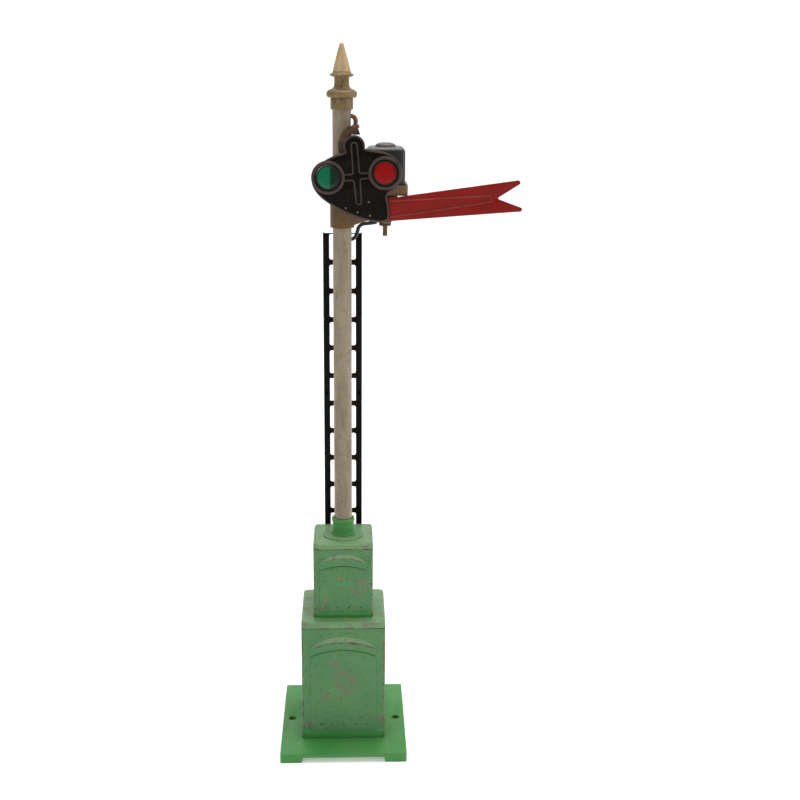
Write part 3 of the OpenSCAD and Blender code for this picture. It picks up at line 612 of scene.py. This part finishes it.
mastPaint = creamPaint()
steel = bareMetal("steel", (0.45, 0.43, 0.40), (0.20, 0.16, 0.12), 0.34)
dullSteel = bareMetal("dullSteel", (0.22, 0.21, 0.20), (0.10, 0.09, 0.08), 0.45)
brass = bareMetal("brass", (0.50, 0.36, 0.14), (0.22, 0.14, 0.06), 0.30)
brownWire = bareMetal("brownWire", (0.26, 0.155, 0.065), (0.11, 0.055, 0.025), 0.42, 0.55)
rustyLink = bareMetal("rustyLink", (0.13, 0.058, 0.026), (0.035, 0.018, 0.010), 0.55, 0.3)
copper = bareMetal("copper", (0.20, 0.11, 0.06), (0.08, 0.05, 0.03), 0.45, 0.6)
fibre = fibreBoard("fibre", (0.17, 0.065, 0.03), (0.26, 0.12, 0.06))
blackFibre = fibreBoard("blackFibre", (0.03, 0.025, 0.02), (0.07, 0.05, 0.04))
windingWire = coilWire()
greenGlass = glass("greenGlass", (0.0005, 0.125, 0.058), 0.85, dust=0.01)
redGlass = glass("redGlass", (0.40, 0.002, 0.003), 0.3, 0.12, 0.005)
clearGlass = glass("clearGlass", (0.9, 0.9, 0.88), 0.95)
lead = rubberLead()
print("finishes mixed")

# The boxes carry their pressed work on the front and on the rear
frontAndRear = [Matrix(), Matrix.Rotation(math.pi, 4, "Z")]


# Awning over the door: a sloping top band, a soft crease and a face below it
def awning(name, y, half, foot, rises, deep):
    inner = half * 0.91
    upper = bow((-half, foot), (half, foot), rises[0], 28)
    crease = bow((-half, foot), (half, foot), rises[1], 28)
    lower = bow((-inner, foot - 3.3), (inner, foot - 3.3), rises[2], 28)
    rows = []
    for i, (a, b, c) in enumerate(zip(upper, crease, lower)):
        end = min(i, 28 - i) / 28
        out = deep * min(1, 0.62 + 3 * end)
        rows.append([
            (a[0], y + 0.1, a[1]), (a[0], y, a[1]),
            (a[0] * 0.3 + b[0] * 0.7, y - out * 0.78, a[1] * 0.3 + b[1] * 0.7),
            (b[0], y - out, b[1] + 0.1), (b[0] * 0.97 + c[0] * 0.03, y - out * 1.02, b[1] - 0.25),
            (c[0] * 0.9 + b[0] * 0.1, y - out * 0.95, c[1] + 0.35), (c[0], y - out * 0.8, c[1]),
            (c[0], y + 0.1, c[1] + 0.1),
        ])
    verts = [point for row in rows for point in row]
    faces = []
    for i in range(len(rows) - 1):
        for k in range(7):
            faces.append((8 * i + k, 8 * i + 8 + k, 8 * i + 9 + k, 8 * i + 1 + k))
    faces.append(tuple(range(8)))
    faces.append(tuple(range(8 * len(rows) - 8, 8 * len(rows))))
    piece = meshObject(name, verts, faces, 40)
    # The sloping top band takes the paler hood paint, a painted highlight where the top faces the light; the
    # crease bands take the edge paint
    for k, polygon in enumerate(piece.data.polygons):
        polygon.material_index = {1: 4, 2: 1, 3: 1}.get(k % 7, 0) if k < 7 * 28 else 0
    return piece


# Raised door panel: a flat arched plate whose edge slopes to the wall
def doorPanel(name, y, half, low, high, rise):
    def outline(less):
        foot, top = low + less, high - less * 0.6
        corners = [(-half + less, foot), (half - less, foot)]
        return corners + bow((half - less, top), (-half + less, top), -rise, 20)
    layers = [(0, 0.1), (0, -0.04), (0.14, -0.26), (0.34, -0.38), (0.6, -0.4)]
    loops = [[(x, y + out, z) for x, z in outline(less)] for less, out in layers]
    return loft(name, loops, smoothAngle=50)


def dome(name, radius, height, steps=5):
    profile = [(radius, -0.2), (radius, 0)]
    profile += [(radius * math.cos(a), height * math.sin(a))
                for a in [math.pi / 2 * k / steps for k in range(1, steps + 1)]]
    return turned(name, profile, sides=20)


# An upright turned piece laid over so that its top faces the front at (x, y, z)
def facing(piece, x, y, z):
    return placed(piece, Matrix.Translation((x, y, z)) @ Matrix.Rotation(math.radians(90), 4, "X"))


lowerTier = {
    "name": "lowerCase", "node": "lower_case", "wall": 22.65, "foot": 5.1, "top": 70.5,
    "hood": (18.7, 58.9, (7.0, 3.5, 3.7)), "panel": (18.05, 9.4, 54.3, 3.7),
    "rivets": (-12.6, -6.3, 0.05, 6.4, 12.7), "rivetHeight": 13.75, "inner": 21.85,
}
upperTier = {
    "name": "upperCase", "node": "upper_case", "wall": 16.0, "foot": 74.3, "top": 113.45,
    "hood": (13.4, 105.5, (5.4, 2.8, 2.5)), "panel": (12.95, 77.5, 101.6, 2.5),
    "rivets": (-9.5, -3.2, 3.1, 9.4), "rivetHeight": 80.3, "inner": 15.2,
}


def buildTier(tier):
    wall = tier["wall"]
    levels = [(wall - 0.8, tier["foot"] + 0.2, 0.4), (wall - 0.1, tier["foot"], 0.9),
              (wall, tier["foot"] + 0.12, 1.0)]
    span = tier["top"] - tier["foot"]
    levels += [(wall, tier["foot"] + span * k / 12, 1.0) for k in range(1, 13)]
    levels += [(tier["inner"], tier["top"], 0.4), (tier["inner"], tier["top"] + 3, 0.4)]
    shell = loft(tier["name"] + "Shell", [squareLoop(h, r, z) for h, z, r in levels], smoothAngle=50)
    # Corner faces take the edge paint; a band along the foot takes a brighter, more saturated green, a
    # painted reflection of the green below
    for polygon in shell.data.polygons:
        centre = polygon.center
        if abs(abs(centre.x) - abs(centre.y)) < 1.2 and min(abs(centre.x), abs(centre.y)) > wall - 1.2:
            polygon.material_index = 1
        elif centre.z < tier["panel"][1] - 0.5 and abs(centre.z - tier["foot"]) < 6:
            polygon.material_index = 2
    parts = [shell]
    for turn in frontAndRear:
        half, foot, rises = tier["hood"]
        parts.append(placed(awning("hood", -wall, half, foot, rises, 1.1), turn))
        parts.append(placed(doorPanel("panel", -wall, *tier["panel"]), turn))
        for x in tier["rivets"]:
            # The rivet heads are painted dark green, a painted shade standing in for the shadow in pressed
            # dimples
            rivet = facing(dome("rivet", 0.55, 0.34), x, -wall - 0.4, tier["rivetHeight"])
            parts.append(placed(toned(rivet, 3), turn))
    return joined(tier["name"] + "Body", parts, 40)


lowerPaint = enamel("lowerCasePaint", dict(sage, patches=[
    ((-4.6, -22.9, 50.0), 5.0), ((-3.8, -22.9, 43.5), 4.0), ((4.8, -22.9, 40.5), 5.6),
    ((1.0, -22.9, 33.6), 5.6), ((-9.2, -22.9, 30.8), 4.6), ((7.5, -22.9, 37), 3.5),
    ((-3, -22.9, 38), 3.5), ((0.5, -22.9, 45), 4.5), ((-19, -22.7, 14), 4), ((19.5, -22.7, 17), 4.5),
    ((-15, -22.9, 60), 3)]))
lowerEdgePaint = enamel("lowerEdgePaint", dict(sageEdge, patches=[
    ((4.8, -23.8, 63.2), 6.5), ((-5, -23.8, 63.2), 3.5), ((-14, -23.8, 60.5), 3.5),
    ((13.3, -23.8, 61.6), 5.0), ((22.6, -22.6, 15), 7), ((-22.6, -22.6, 20), 6), ((22.6, -22.6, 55), 9),
    ((-22.6, -22.6, 60), 8)]))
upperPaint = enamel("upperCasePaint", dict(sage, patches=[
    ((10.2, -16.3, 95.3), 4.8), ((8.0, -16.3, 89.0), 3.6), ((4.3, -16.3, 91.3), 2.6),
    ((-9.5, -16.3, 84.5), 3.2), ((12.5, -16.3, 92), 4), ((-12, -16.3, 80), 3.5)],
    spots=[((-2.0, -16.4, 97.3), 1.1, (0.33, 0.14, 0.045))]))
# Brighter green for the foot band: a painted reflection of the green base
footReflectionPaint = enamel("footReflectionPaint", dict(bright, colour=(0.068, 0.30, 0.080), faded=(0.09, 0.35, 0.10)))
# Paler green for the awning's top band: a painted highlight
hoodTopHighlightPaint = enamel("hoodTopHighlightPaint", dict(
    sage, colour=(0.16, 0.27, 0.13), faded=(0.20, 0.30, 0.16), grimeMix=0.8, pitFrom=0.60, specular=0.35))
# Dark green for the rivet heads: painted shade
rivetShadePaint = enamel("rivetShadePaint", dict(
    sage, colour=(0.04, 0.11, 0.045), faded=(0.06, 0.14, 0.06), grimeMix=0.9))
for tier, wallPaint in ((lowerTier, lowerPaint), (upperTier, upperPaint)):
    paints = [wallPaint, lowerEdgePaint, footReflectionPaint, rivetShadePaint, hoodTopHighlightPaint]
    finished(buildTier(tier), "mast", paints, [tier["node"]])
print("boxes built")

lowerLid = {
    "name": "lowerLidCover", "node": "lower_lid", "half": 22.75, "top": 74.3, "skirt": 3.8, "disc": None,
    "hole": 9,
}
upperLid = {
    "name": "upperLidCover", "node": "upper_lid", "half": 16.1, "top": 116.5, "skirt": 3.05, "disc": 11.2,
    "hole": 4.87,
}


def buildLid(lid):
    half, top, foot, hole = lid["half"], lid["top"], lid["top"] - lid["skirt"], lid["hole"]
    rim, corner, sheet = 1.15, 2.4, 0.8
    loops = [squareLoop(half - 0.7, 1.6, top - 1), squareLoop(half - 0.7, 1.6, foot + 0.1),
             squareLoop(half - 0.35, 2.1, foot), squareLoop(half, corner, foot + 0.25),
             squareLoop(half, corner, foot + 0.55)]
    loops += [squareLoop(half, corner, foot + (lid["skirt"] - rim) * k / 3) for k in (1, 2, 3)]
    for k in range(1, 7):
        a = math.radians(15 * k)
        less = rim * (1 - math.cos(a))
        loops.append(squareLoop(half - less, corner, top - rim + rim * math.sin(a)))
    for share in (0.97, 0.9, 0.8):
        loops.append(squareLoop(half * share - rim * 0.5, 2.1, top))
    if lid["disc"]:
        disc = lid["disc"]
        loops += [roundLoop(disc + 0.15, top), roundLoop(disc, top + 0.1), roundLoop(disc, top + 0.55),
                  roundLoop(disc - 0.25, top + 0.8), roundLoop(hole + 0.4, top + 0.8),
                  roundLoop(hole, top + 0.6), roundLoop(hole, top - sheet)]
    else:
        loops += [roundLoop(hole, top), roundLoop(hole, top - sheet)]
    loops += [squareLoop(half - 0.9, 1.4, top - sheet)]
    piece = loft(lid["name"], loops, ringed=True, smoothAngle=42)
    # The bottom rim of the skirt takes a browner paint: grime in the seam together with the painted shadow of
    # the gap
    for polygon in piece.data.polygons:
        if polygon.center.z < foot + 0.5:
            polygon.material_index = 1
    return piece


# The patches at (16, -22.7, 73.8) and (-20.5, -22.4, 73.0), on the two front corners of the lower lid, are
# painted glints; the other patches are worn paint
lidWearAndGlint = enamel("lidWearAndGlintPaint", dict(lidGreen, patches=[
    ((11.7, -22.7, 72.8), 5.5), ((12.3, -16.1, 114.9), 4.2), ((-19.5, 9.4, 74.3), 5.0),
    ((16, -22.7, 73.8), 3.5), ((-20.5, -22.4, 73.0), 3.5), ((-15.4, -15.4, 114.5), 3),
    ((-12, -22.8, 70.8), 4), ((4, -22.8, 70.8), 4), ((-20, -5, 74.3), 4.5), ((20.5, -12, 74.3), 4.5),
    ((15.5, -14, 114), 3.5)]))
# Browner paint for the skirt's bottom rim: grime and painted shadow
skirtGrimeAndShadowPaint = enamel("skirtGrimeAndShadowPaint", dict(sageEdge, chipFrom=0.49, speckFrom=0.58))
for lid in (lowerLid, upperLid):
    finished(buildLid(lid), "mast", [lidWearAndGlint, skirtGrimeAndShadowPaint], [lid["node"]])
print("lids built")

finished(softened("base_plate", "basePlateBody", 0.45, 3), "mast",
         [brightPaint, brightEdgePaint], ["base_plate"])

collarProfile = [
    (4.87, 117.3), (6.4, 117.3), (6.5, 117.6), (6.2, 117.9), (5.85, 118.4), (5.76, 119.2), (5.76, 123.6),
    (5.8, 123.95), (5.95, 124.2), (6.15, 124.5), (6.22, 124.9), (6.22, 125.5), (6.12, 126.0), (5.9, 126.35),
    (5.5, 126.5), (5.1, 126.3), (4.87, 125.6), (4.87, 117.3),
]
finished(turned("mastCollarTurned", collarProfile), "mast", [brightPaint], ["mast_collar"])
print("pedestal finished")

# Profiles of (radius, height) for the pieces at the head of the mast
finialProfile = [
    (3.7, 343.2), (3.7, 348.4), (6.2, 348.4), (7.0, 348.6), (7.5, 349.1), (7.7, 350.0), (7.65, 350.9),
    (7.3, 351.6), (6.6, 352.2), (5.5, 352.6), (4.6, 353.1), (4.0, 353.8), (3.8, 354.3), (3.76, 355.2),
    (3.76, 357.9), (3.9, 358.4), (5.2, 358.75), (5.85, 359.1), (5.98, 359.5), (5.85, 359.9),
    (5.2, 360.2), (4.7, 360.5), (4.5, 361.2), (4.2, 362.6), (3.0, 367.2), (2.0, 370.9), (1.35, 373.2),
    (1.1, 374.1), (0.8, 374.6), (0.4, 374.92), (0, 375.0),
]
ferruleProfile = [
    (4.81, 342.7), (5.4, 342.7), (5.62, 342.85), (5.7, 343.15), (5.7, 348.0), (5.62, 348.28),
    (5.4, 348.38), (4.81, 348.38), (4.81, 342.7),
]
finial = turned("finialTurned", finialProfile, smoothAngle=48)
for polygon in finial.data.polygons:
    polygon.material_index = 1 if polygon.center.z > 361 else 0
finished(finial, "mast", [giltPaint, giltPalePaint], ["finial"])
finished(turned("ferruleTurned", ferruleProfile), "mast", [giltPaint], ["finial_ferrule"])
painted("mast_tube", mastPaint)

ladderLook = {
    "half": 10.3, "stile": 3.3, "front": 17.8, "thick": 0.8, "depth": 2.6, "foot": 74.3, "joint": 187.06,
    "top": 278.5, "pitch": 15.49, "rung": 2.8, "ledge": 0.5, "tab": 3.5, "tongueFoot": 271.5,
    "mastRadius": 4.87,
}


def roundedBox(x0, x1, z0, z1, r, steps=4):
    centres = ((x1 - r, z1 - r, 0), (x0 + r, z1 - r, 90), (x0 + r, z0 + r, 180), (x1 - r, z0 + r, 270))
    points = []
    for cx, cz, start in centres:
        points += arcPoints(cx, cz, r, start, start + 90, steps)
    return points


# A punched strip with rounded windows and its two sides folded back
def ladderLength(look, low, high, rungs):
    half, front, halfRung = look["half"], look["front"], look["rung"] / 2
    inner = half - look["stile"]
    heights = [look["top"] - look["pitch"] * k for k in rungs]
    last = heights[-1] - halfRung
    if rungs[0] == 1:
        heights.insert(0, high - look["ledge"] + halfRung)
    holes = [roundedBox(-inner, inner, below + halfRung, above - halfRung, 1.0)
             for above, below in zip(heights, heights[1:])]
    outer = [(-half, low), (-inner, low), (-inner, last), (inner, last), (inner, low), (half, low),
             (half, high), (-half, high)]
    parts = [plate("ladderFace", [outer] + holes, front, front + look["thick"], 0.18)]
    for side in (-1, 1):
        x = side * (half - 0.4)
        rail = [(x - 0.4, low), (x + 0.4, low), (x + 0.4, high), (x - 0.4, high)]
        parts.append(plate("ladderRail", [rail], front + 0.3, front + look["depth"], 0.15))
    return parts


def ladderUpper(look):
    tab, top, wall, thick = look["tab"], look["top"], look["mastRadius"], look["thick"]
    topTab = [(-tab, top - thick), (tab, top - thick), (tab, top), (-tab, top)]
    tongue = [(-tab, look["tongueFoot"]), (tab, look["tongueFoot"]), (tab, top - 0.3), (-tab, top - 0.3)]
    parts = ladderLength(look, look["joint"] + 0.1, top, range(1, 6))
    parts.append(plate("ladderTop", [topTab], wall, 18.0, 0.18))
    parts.append(plate("ladderTongue", [tongue], wall, wall + thick, 0.18))
    return joined("ladderUpperPressed", parts)


def ladderLower(look):
    return joined("ladderLowerPressed", ladderLength(look, look["foot"], look["joint"], range(6, 13)))


finished(ladderUpper(ladderLook), "mast", [blackPaint, blackEdgePaint], ["ladder_upper"])
finished(ladderLower(ladderLook), "mast", [blackPaint, blackEdgePaint], ["ladder_lower"])
painted("ladder_splices", blackPaint)
painted("ladder_screw", steel)
print("mast and ladder built")

# The arm's own frame: its origin is the pivot, its x runs along the blade
armFrame = Matrix.Translation((6.1, 0, 325.6)) @ Matrix.Rotation(math.radians(-4.8), 4, "Y")
backFace, frontFace = -13.0, -14.2


def smoothOutline(points, steps=4):
    count, path = len(points), []
    for i in range(count - 1):
        before, here = Vector(points[max(i - 1, 0)]), Vector(points[i])
        there, after = Vector(points[i + 1]), Vector(points[min(i + 2, count - 1)])
        for k in range(steps):
            t = k / steps
            path.append(tuple(0.5 * (
                2 * here + (there - before) * t
                + (2 * before - 5 * here + 4 * there - after) * t * t
                + (3 * here - before - 3 * there + after) * t * t * t)))
    path.append(tuple(points[-1]))
    return path


leftSide = [
    (-5.0, -2.4), (-7.4, -3.1), (-10.78, -3.93), (-15.88, -6.11), (-19.53, -8.4), (-21.71, -11.28),
    (-22.5, -14.61), (-22.14, -18.04), (-20.38, -21.59), (-17.59, -24.83), (-14.06, -27.75),
    (-9.72, -30.78), (-5.0, -33.46), (-0.18, -35.74), (4.32, -37.26), (8.07, -38.11), (11.6, -38.35),
    (13.9, -37.2), (14.76, -34.6), (14.8, -32), (14.57, -28.88), (14.2, -26.9), (14.92, -24.6),
    (18.07, -22.36), (21.0, -19.6), (22.6, -16.66), (22.74, -12.13), (20.8, -7.9), (16.46, -4.75),
    (10.89, -2.99), (7.4, -2.2), (5.25, -1.5),
]
lobe = arcPoints(0, 0, 5.4, -14, 206, 26)
castingOutline = smoothOutline(leftSide, 4) + lobe[1:-1]
lensPlaces = ((-14.21, -14.21), (14.21, -14.21))
lensHoles = [arcPoints(x, z, 6.3, 0, 352.5, 47) for x, z in lensPlaces]
castingParts = [plate("web", [castingOutline] + lensHoles, frontFace, backFace, 0.25)]
for polygon in castingParts[0].data.polygons:
    polygon.material_index = 0
ridgeLine = inset(castingOutline if signedArea(castingOutline) > 0 else castingOutline[::-1], 0.55)
# The bead round the outline takes the second, lighter paint: a painted highlight along the raised line
rim = tube("rim", [(x, frontFace - 0.05, z) for x, z in ridgeLine], 0.52, closed=True, rings=2)
castingParts.append(toned(rim, 1))

cellProfile = [
    (6.15, 0.4), (6.2, 2.0), (6.3, 2.25), (6.6, 2.3), (6.75, 2.32), (6.85, 2.5), (7.05, 2.66),
    (7.4, 2.7), (7.8, 2.64), (8.1, 2.42), (8.3, 2.05), (8.38, 1.6), (8.42, 1.1), (8.2, 0.9), (6.4, 0.3),
    (6.15, 0.4),
]
ringProfile = [
    (5.42, 1.72), (5.42, 2.0), (5.5, 2.2), (5.65, 2.3), (5.9, 2.3), (6.05, 2.2), (6.14, 2.0), (6.14, 1.72),
    (5.42, 1.72),
]
for x, z in lensPlaces:
    cell = facing(turned("cell", cellProfile, sides=64), x, backFace, z)
    for polygon in cell.data.polygons:
        centre = polygon.center
        across = math.hypot(centre.x - x, centre.z - z)
        # The outer bead of each lens cell takes the lighter paint, a painted highlight
        polygon.material_index = 1 if across > 6.9 else 0
    castingParts.append(cell)


# A raised line on the casting, rounded on top
def ridge(points, radius=0.42):
    return toned(tube("ridge", [(x, frontFace - 0.02, z) for x, z in points], radius, rings=2), 1)


upperArm = [(-6.4, -13.5), (-2.6, -13.55), (-1.95, -13.3), (-1.6, -12.7), (-1.5, -6), (-1.42, 0.4)]
upperArm += arcPoints(0.02, 0.4, 1.42, 172, 8, 10)
upperArm += [(1.45, 0.4), (1.5, -6), (1.5, -12.6), (1.85, -13.15), (2.5, -13.4), (6.4, -13.4)]
lowerArm = [(-6.4, -16.4), (-2.5, -16.4), (-1.85, -16.6), (-1.5, -17.2), (-1.4, -22), (-1.25, -27.4)]
lowerArm += arcPoints(0.02, -27.4, 1.27, 188, 352, 10)
lowerArm += [(1.3, -27.4), (1.45, -22), (1.5, -17.0), (1.85, -16.35), (2.5, -16.15), (6.4, -16.1)]
castingParts += [ridge(upperArm), ridge(lowerArm)]
bossProfile = [(1.0, -3.3), (2.4, -3.3), (2.4, 0.2), (1.0, 0.2), (1.0, -3.3)]
castingParts.append(facing(turned("boss", bossProfile, sides=32), 0, backFace, 0))
castingBlack = enamel("castingBlack", dict(
    black, bare=(0.05, 0.028, 0.018), chipFrom=0.66, grimeMix=0.8, rough=0.45, dents=0.4, peel=0.25))
# Lighter brown-black for the beads and ribs: a painted highlight on the raised lines
castingBeadHighlight = enamel("castingBeadHighlight", dict(
    black, colour=(0.040, 0.028, 0.021), faded=(0.070, 0.050, 0.040), bare=(0.012, 0.009, 0.007),
    chipFrom=0.60, rough=0.46, specular=0.2, grimeMix=0.4))
casting = placed(joined("castingBody", castingParts, 40), armFrame)
finished(casting, "signal_arm", [castingBlack, castingBeadHighlight], ["spectacle"])
retainers = [facing(turned("ring", ringProfile, sides=56), x, backFace, z) for x, z in lensPlaces]
finished(placed(joined("lensRetainers", retainers, 40), armFrame), "signal_arm",
         [blackEdgePaint], ["lens_rings"])

lensProfile = [(0, 0.72), (4.5, 0.72), (6.1, 0.8), (6.1, 1.5), (5.2, 1.68), (3.6, 1.69), (1.8, 1.7), (0, 1.7)]
lenses = (("greenLensDisc", "green_lens", greenGlass, "green_glass"),
          ("redLensDisc", "red_lens", redGlass, "red_glass"))
for (x, z), (name, node, material, slot) in zip(lensPlaces, lenses):
    disc = placed(facing(turned(name, lensProfile, sides=56, smoothAngle=50), x, backFace, z), armFrame)
    finished(disc, "signal_arm", [material], [node])

bladeOutline = [(-8.4, -28.6), (3, -27.0), (15.4, -26.8)] + bow((79.6, -23.2), (81.4, -24.4), 0.55, 6)
bladeOutline += [(81.2, -25.1), (70.4, -30.7), (69.7, -31.3), (70.4, -31.9), (81.3, -37.0)]
bladeOutline += bow((81.5, -37.7), (79.7, -38.8), 0.55, 6) + [(15.1, -38.3), (9, -37.4), (-8.4, -31.2)]
bladeParts = [plate("blade", [bladeOutline], backFace, backFace + 0.8, 0.2)]
bladeLine = [
    (14.9, -28.35), (40, -28.95), (63.6, -29.5), (65.2, -29.75), (66.05, -30.4), (66.25, -31.2),
    (65.9, -32.1), (64.6, -32.75), (40, -34.55), (14.9, -36.2),
]
ridgePath = [(x, backFace, z) for x, z in smoothOutline(bladeLine, 5)]
bladeParts.append(toned(tube("bladeRidge", ridgePath, 0.42, rings=2), 1))
blade = placed(joined("bladePressed", bladeParts, 40), armFrame)
finished(blade, "signal_arm", [redPaint, redEdgePaint], ["arm_blade"])
painted("arm_rivets", dullSteel)
painted("crank_pin", steel)
painted("pivot_shaft", steel)
painted("pivot_washer", brownWire)
print("signal arm built")

# Bracket and link keep their CAD shape with softened edges; the wire is drawn anew
finished(softened("head_bracket", "headBracketBody", 0.25, 2), "mast",
         [giltDarkPaint, giltPaint], ["head_bracket"])
painted("pivot_bush", brass)
finished(softened("link_plate", "linkPlateBody", 0.2, 2), "operating_gear",
         [rustyLink, brownWire], ["link_plate"])
wire = {"foot": 56.96, "bendHeight": 337.3, "bend": 2.3, "hookTip": 332.6, "reach": 6.9125, "radius": 1.14}


# A straight pull up the mast, bent over at the top into a hook
def hookWire(look):
    bend, height, reach = look["bend"], look["bendHeight"], look["reach"]
    path = [(0, look["foot"]), (0, 200)] + arcPoints(bend, height, bend, 180, 90, 10)
    path += arcPoints(reach - bend, height, bend, 90, 0, 10) + [(reach, look["hookTip"])]
    return tube("hookWire", [(x, 0, z) for x, z in path], look["radius"], rings=4)


finished(hookWire(wire), "operating_gear", [brownWire], ["operating_rod"])
painted("plunger", steel)
print("linkage built")

housingPaint = enamel("housingPaint", dict(
    black, colour=(0.016, 0.014, 0.013), faded=(0.026, 0.023, 0.021), bare=(0.14, 0.12, 0.10),
    chipFrom=0.73, rough=0.30, specular=0.45))
# Grey for the roof and the cap: a painted reflection of the bright surroundings on the gloss black
roofReflectionPaint = enamel("roofReflectionPaint", dict(
    black, colour=(0.060, 0.056, 0.052), faded=(0.09, 0.084, 0.078), bare=(0.20, 0.18, 0.16),
    chipFrom=0.66, rough=0.40, specular=0.5))
housing = softened("lamp_housing", "lampHousingShell", 0.12, 2)
# Faces above the roof line take the grey, a painted reflection
for polygon in housing.data.polygons:
    polygon.material_index = 1 if polygon.center.z > 323.6 else 0
finished(housing, "lamp_cover", [housingPaint, roofReflectionPaint], ["lamp_housing"])
lampX, capFoot = 21.952, 324.696
capRise = [
    (0, 0), (5.4, 0), (5.36, 0.3), (5.1, 0.85), (4.5, 1.35), (3.6, 1.72), (2.4, 1.96), (1.2, 2.07), (0, 2.1),
]
cap = turned("lampCapDome", [(r, capFoot + rise) for r, rise in capRise], lampX, 0, 48, 50)
finished(cap, "lamp_cover", [roofReflectionPaint], ["lamp_cap"])
trayPaint = enamel("trayPaint", dict(gilt, colour=(0.15, 0.097, 0.042), faded=(0.20, 0.135, 0.065)))
finished(softened("lamp_tray", "lampTrayPressed", 0.2, 2), "mast",
         [trayPaint, giltDarkPaint], ["lamp_tray"])
painted("bulb_glass", clearGlass)
painted("bulb_base", brass)
painted("lamp_socket", brass)
painted("socket_washer", blackFibre)
painted("lamp_tag", brass)
painted("lamp_stud", copper)
painted("lamp_nut", rustyLink)
leadPoints = [
    (17.65, 0, 286.6), (16.2, 0.2, 286.3), (13.8, 0.8, 285.9), (11.6, 1.2, 285.6), (9.8, 1.6, 285),
    (8.5, 2, 283.7), (7.9, 2.3, 281.8), (7.4, 2.5, 280), (6.7, 2.6, 278.6), (5.6, 2.6, 277.7),
    (4.2, 2.6, 277.1), (2.4, 2.5, 275.6), (0.8, 2.5, 273.4), (0, 2.5, 270), (0, 2.5, 255), (0, 2.5, 200),
    (0, 2.5, 140), (0, 2.5, 112), (0, 3.1, 102), (0, 5.4, 90), (0, 7.2, 78), (0, 7.8, 71), (0, 11.6, 62),
    (0, 15, 55), (0, 15.6, 46), (0, 15.6, 28), (0, 15.6, 8), (0, 16, 4.2), (0, 17.8, 2.4),
    (0, 21.5, 2.25), (0, 25.5, 2.25), (0, 28.3, 2.25),
]
leadTube = tube("lampLeadTube", smoothPath(leadPoints), 0.98, rings=3)
finished(leadTube, "mast", [lead], ["lamp_lead"])
print("lamp built")

# The coil, the screws and the binding posts keep their own shapes
for node, material in {
        "base_screws": steel, "tier_screws": steel, "mast_nut": brass, "coil_frame": steel,
        "coil_bobbin": fibre, "coil_winding": windingWire, "core_plug": steel, "coil_screws": steel,
        "post_bushes": fibre, "post_studs": brass, "thumb_nut_left": brass, "thumb_nut_centre": brass,
        "thumb_nut_right": brass}.items():
    painted(node, material)
print("small parts painted")

# The floor sweeps up behind into a backdrop
studio = {"reach": 3.0, "sweepStart": 1.1, "sweepRadius": 0.6, "sweepTop": 2.6}


def paleFloor(look):
    f = Finish("paleFloor")
    f.place = f.add("ShaderNodeNewGeometry").outputs["Position"]
    drift = f.band(f.noise(3, 3), 0.35, 0.65)
    f.set(Base_Color=f.mix(drift, (0.88, 0.88, 0.88), (0.93, 0.93, 0.93)), Roughness=0.8)
    f.shader.inputs["Emission Color"].default_value = (1, 1, 1, 1)
    f.shader.inputs["Emission Strength"].default_value = 0.30
    start, radius = look["sweepStart"], look["sweepRadius"]
    section = [(-2.5, 0)] + arcPoints(start, radius, radius, -90, 0, 15)
    section.append((start + radius, look["sweepTop"]))
    verts = [(x, y, z) for y, z in section for x in (-look["reach"], look["reach"])]
    faces = [(2 * i, 2 * i + 1, 2 * i + 3, 2 * i + 2) for i in range(len(section) - 1)]
    mesh = bpy.data.meshes.new("floor")
    mesh.from_pydata(verts, [], faces)
    mesh.shade_smooth()
    mesh.materials.append(f.material)
    floor = linked(bpy.data.objects.new("floor", mesh))


def areaLight(name, place, target, size, power, colour=(1, 1, 1)):
    data = bpy.data.lights.new(name, "AREA")
    data.shape = "RECTANGLE"
    data.size, data.size_y = size
    data.energy = power
    data.color = colour
    light = linked(bpy.data.objects.new(name, data))
    light.location = place
    light.rotation_euler = (Vector(target) - Vector(place)).to_track_quat("-Z", "Y").to_euler()


paleFloor(studio)
areaLight("overhead", (0.1, 0.15, 1.5), (0, 0, 0.15), (1.6, 1.2), 22)
areaLight("frontLeft", (-0.9, -1.2, 0.9), (0, 0, 0.2), (0.7, 0.7), 4)
areaLight("rightSide", (1.2, -0.3, 0.6), (0, 0, 0.2), (0.6, 0.9), 4)
world = bpy.data.worlds.new("studio")
world.use_nodes = True
world.node_tree.nodes["Background"].inputs["Color"].default_value = (0.95, 0.96, 1.0, 1)
world.node_tree.nodes["Background"].inputs["Strength"].default_value = 0.30
scene.world = world
scene.view_settings.view_transform = "Standard"

print("ready")
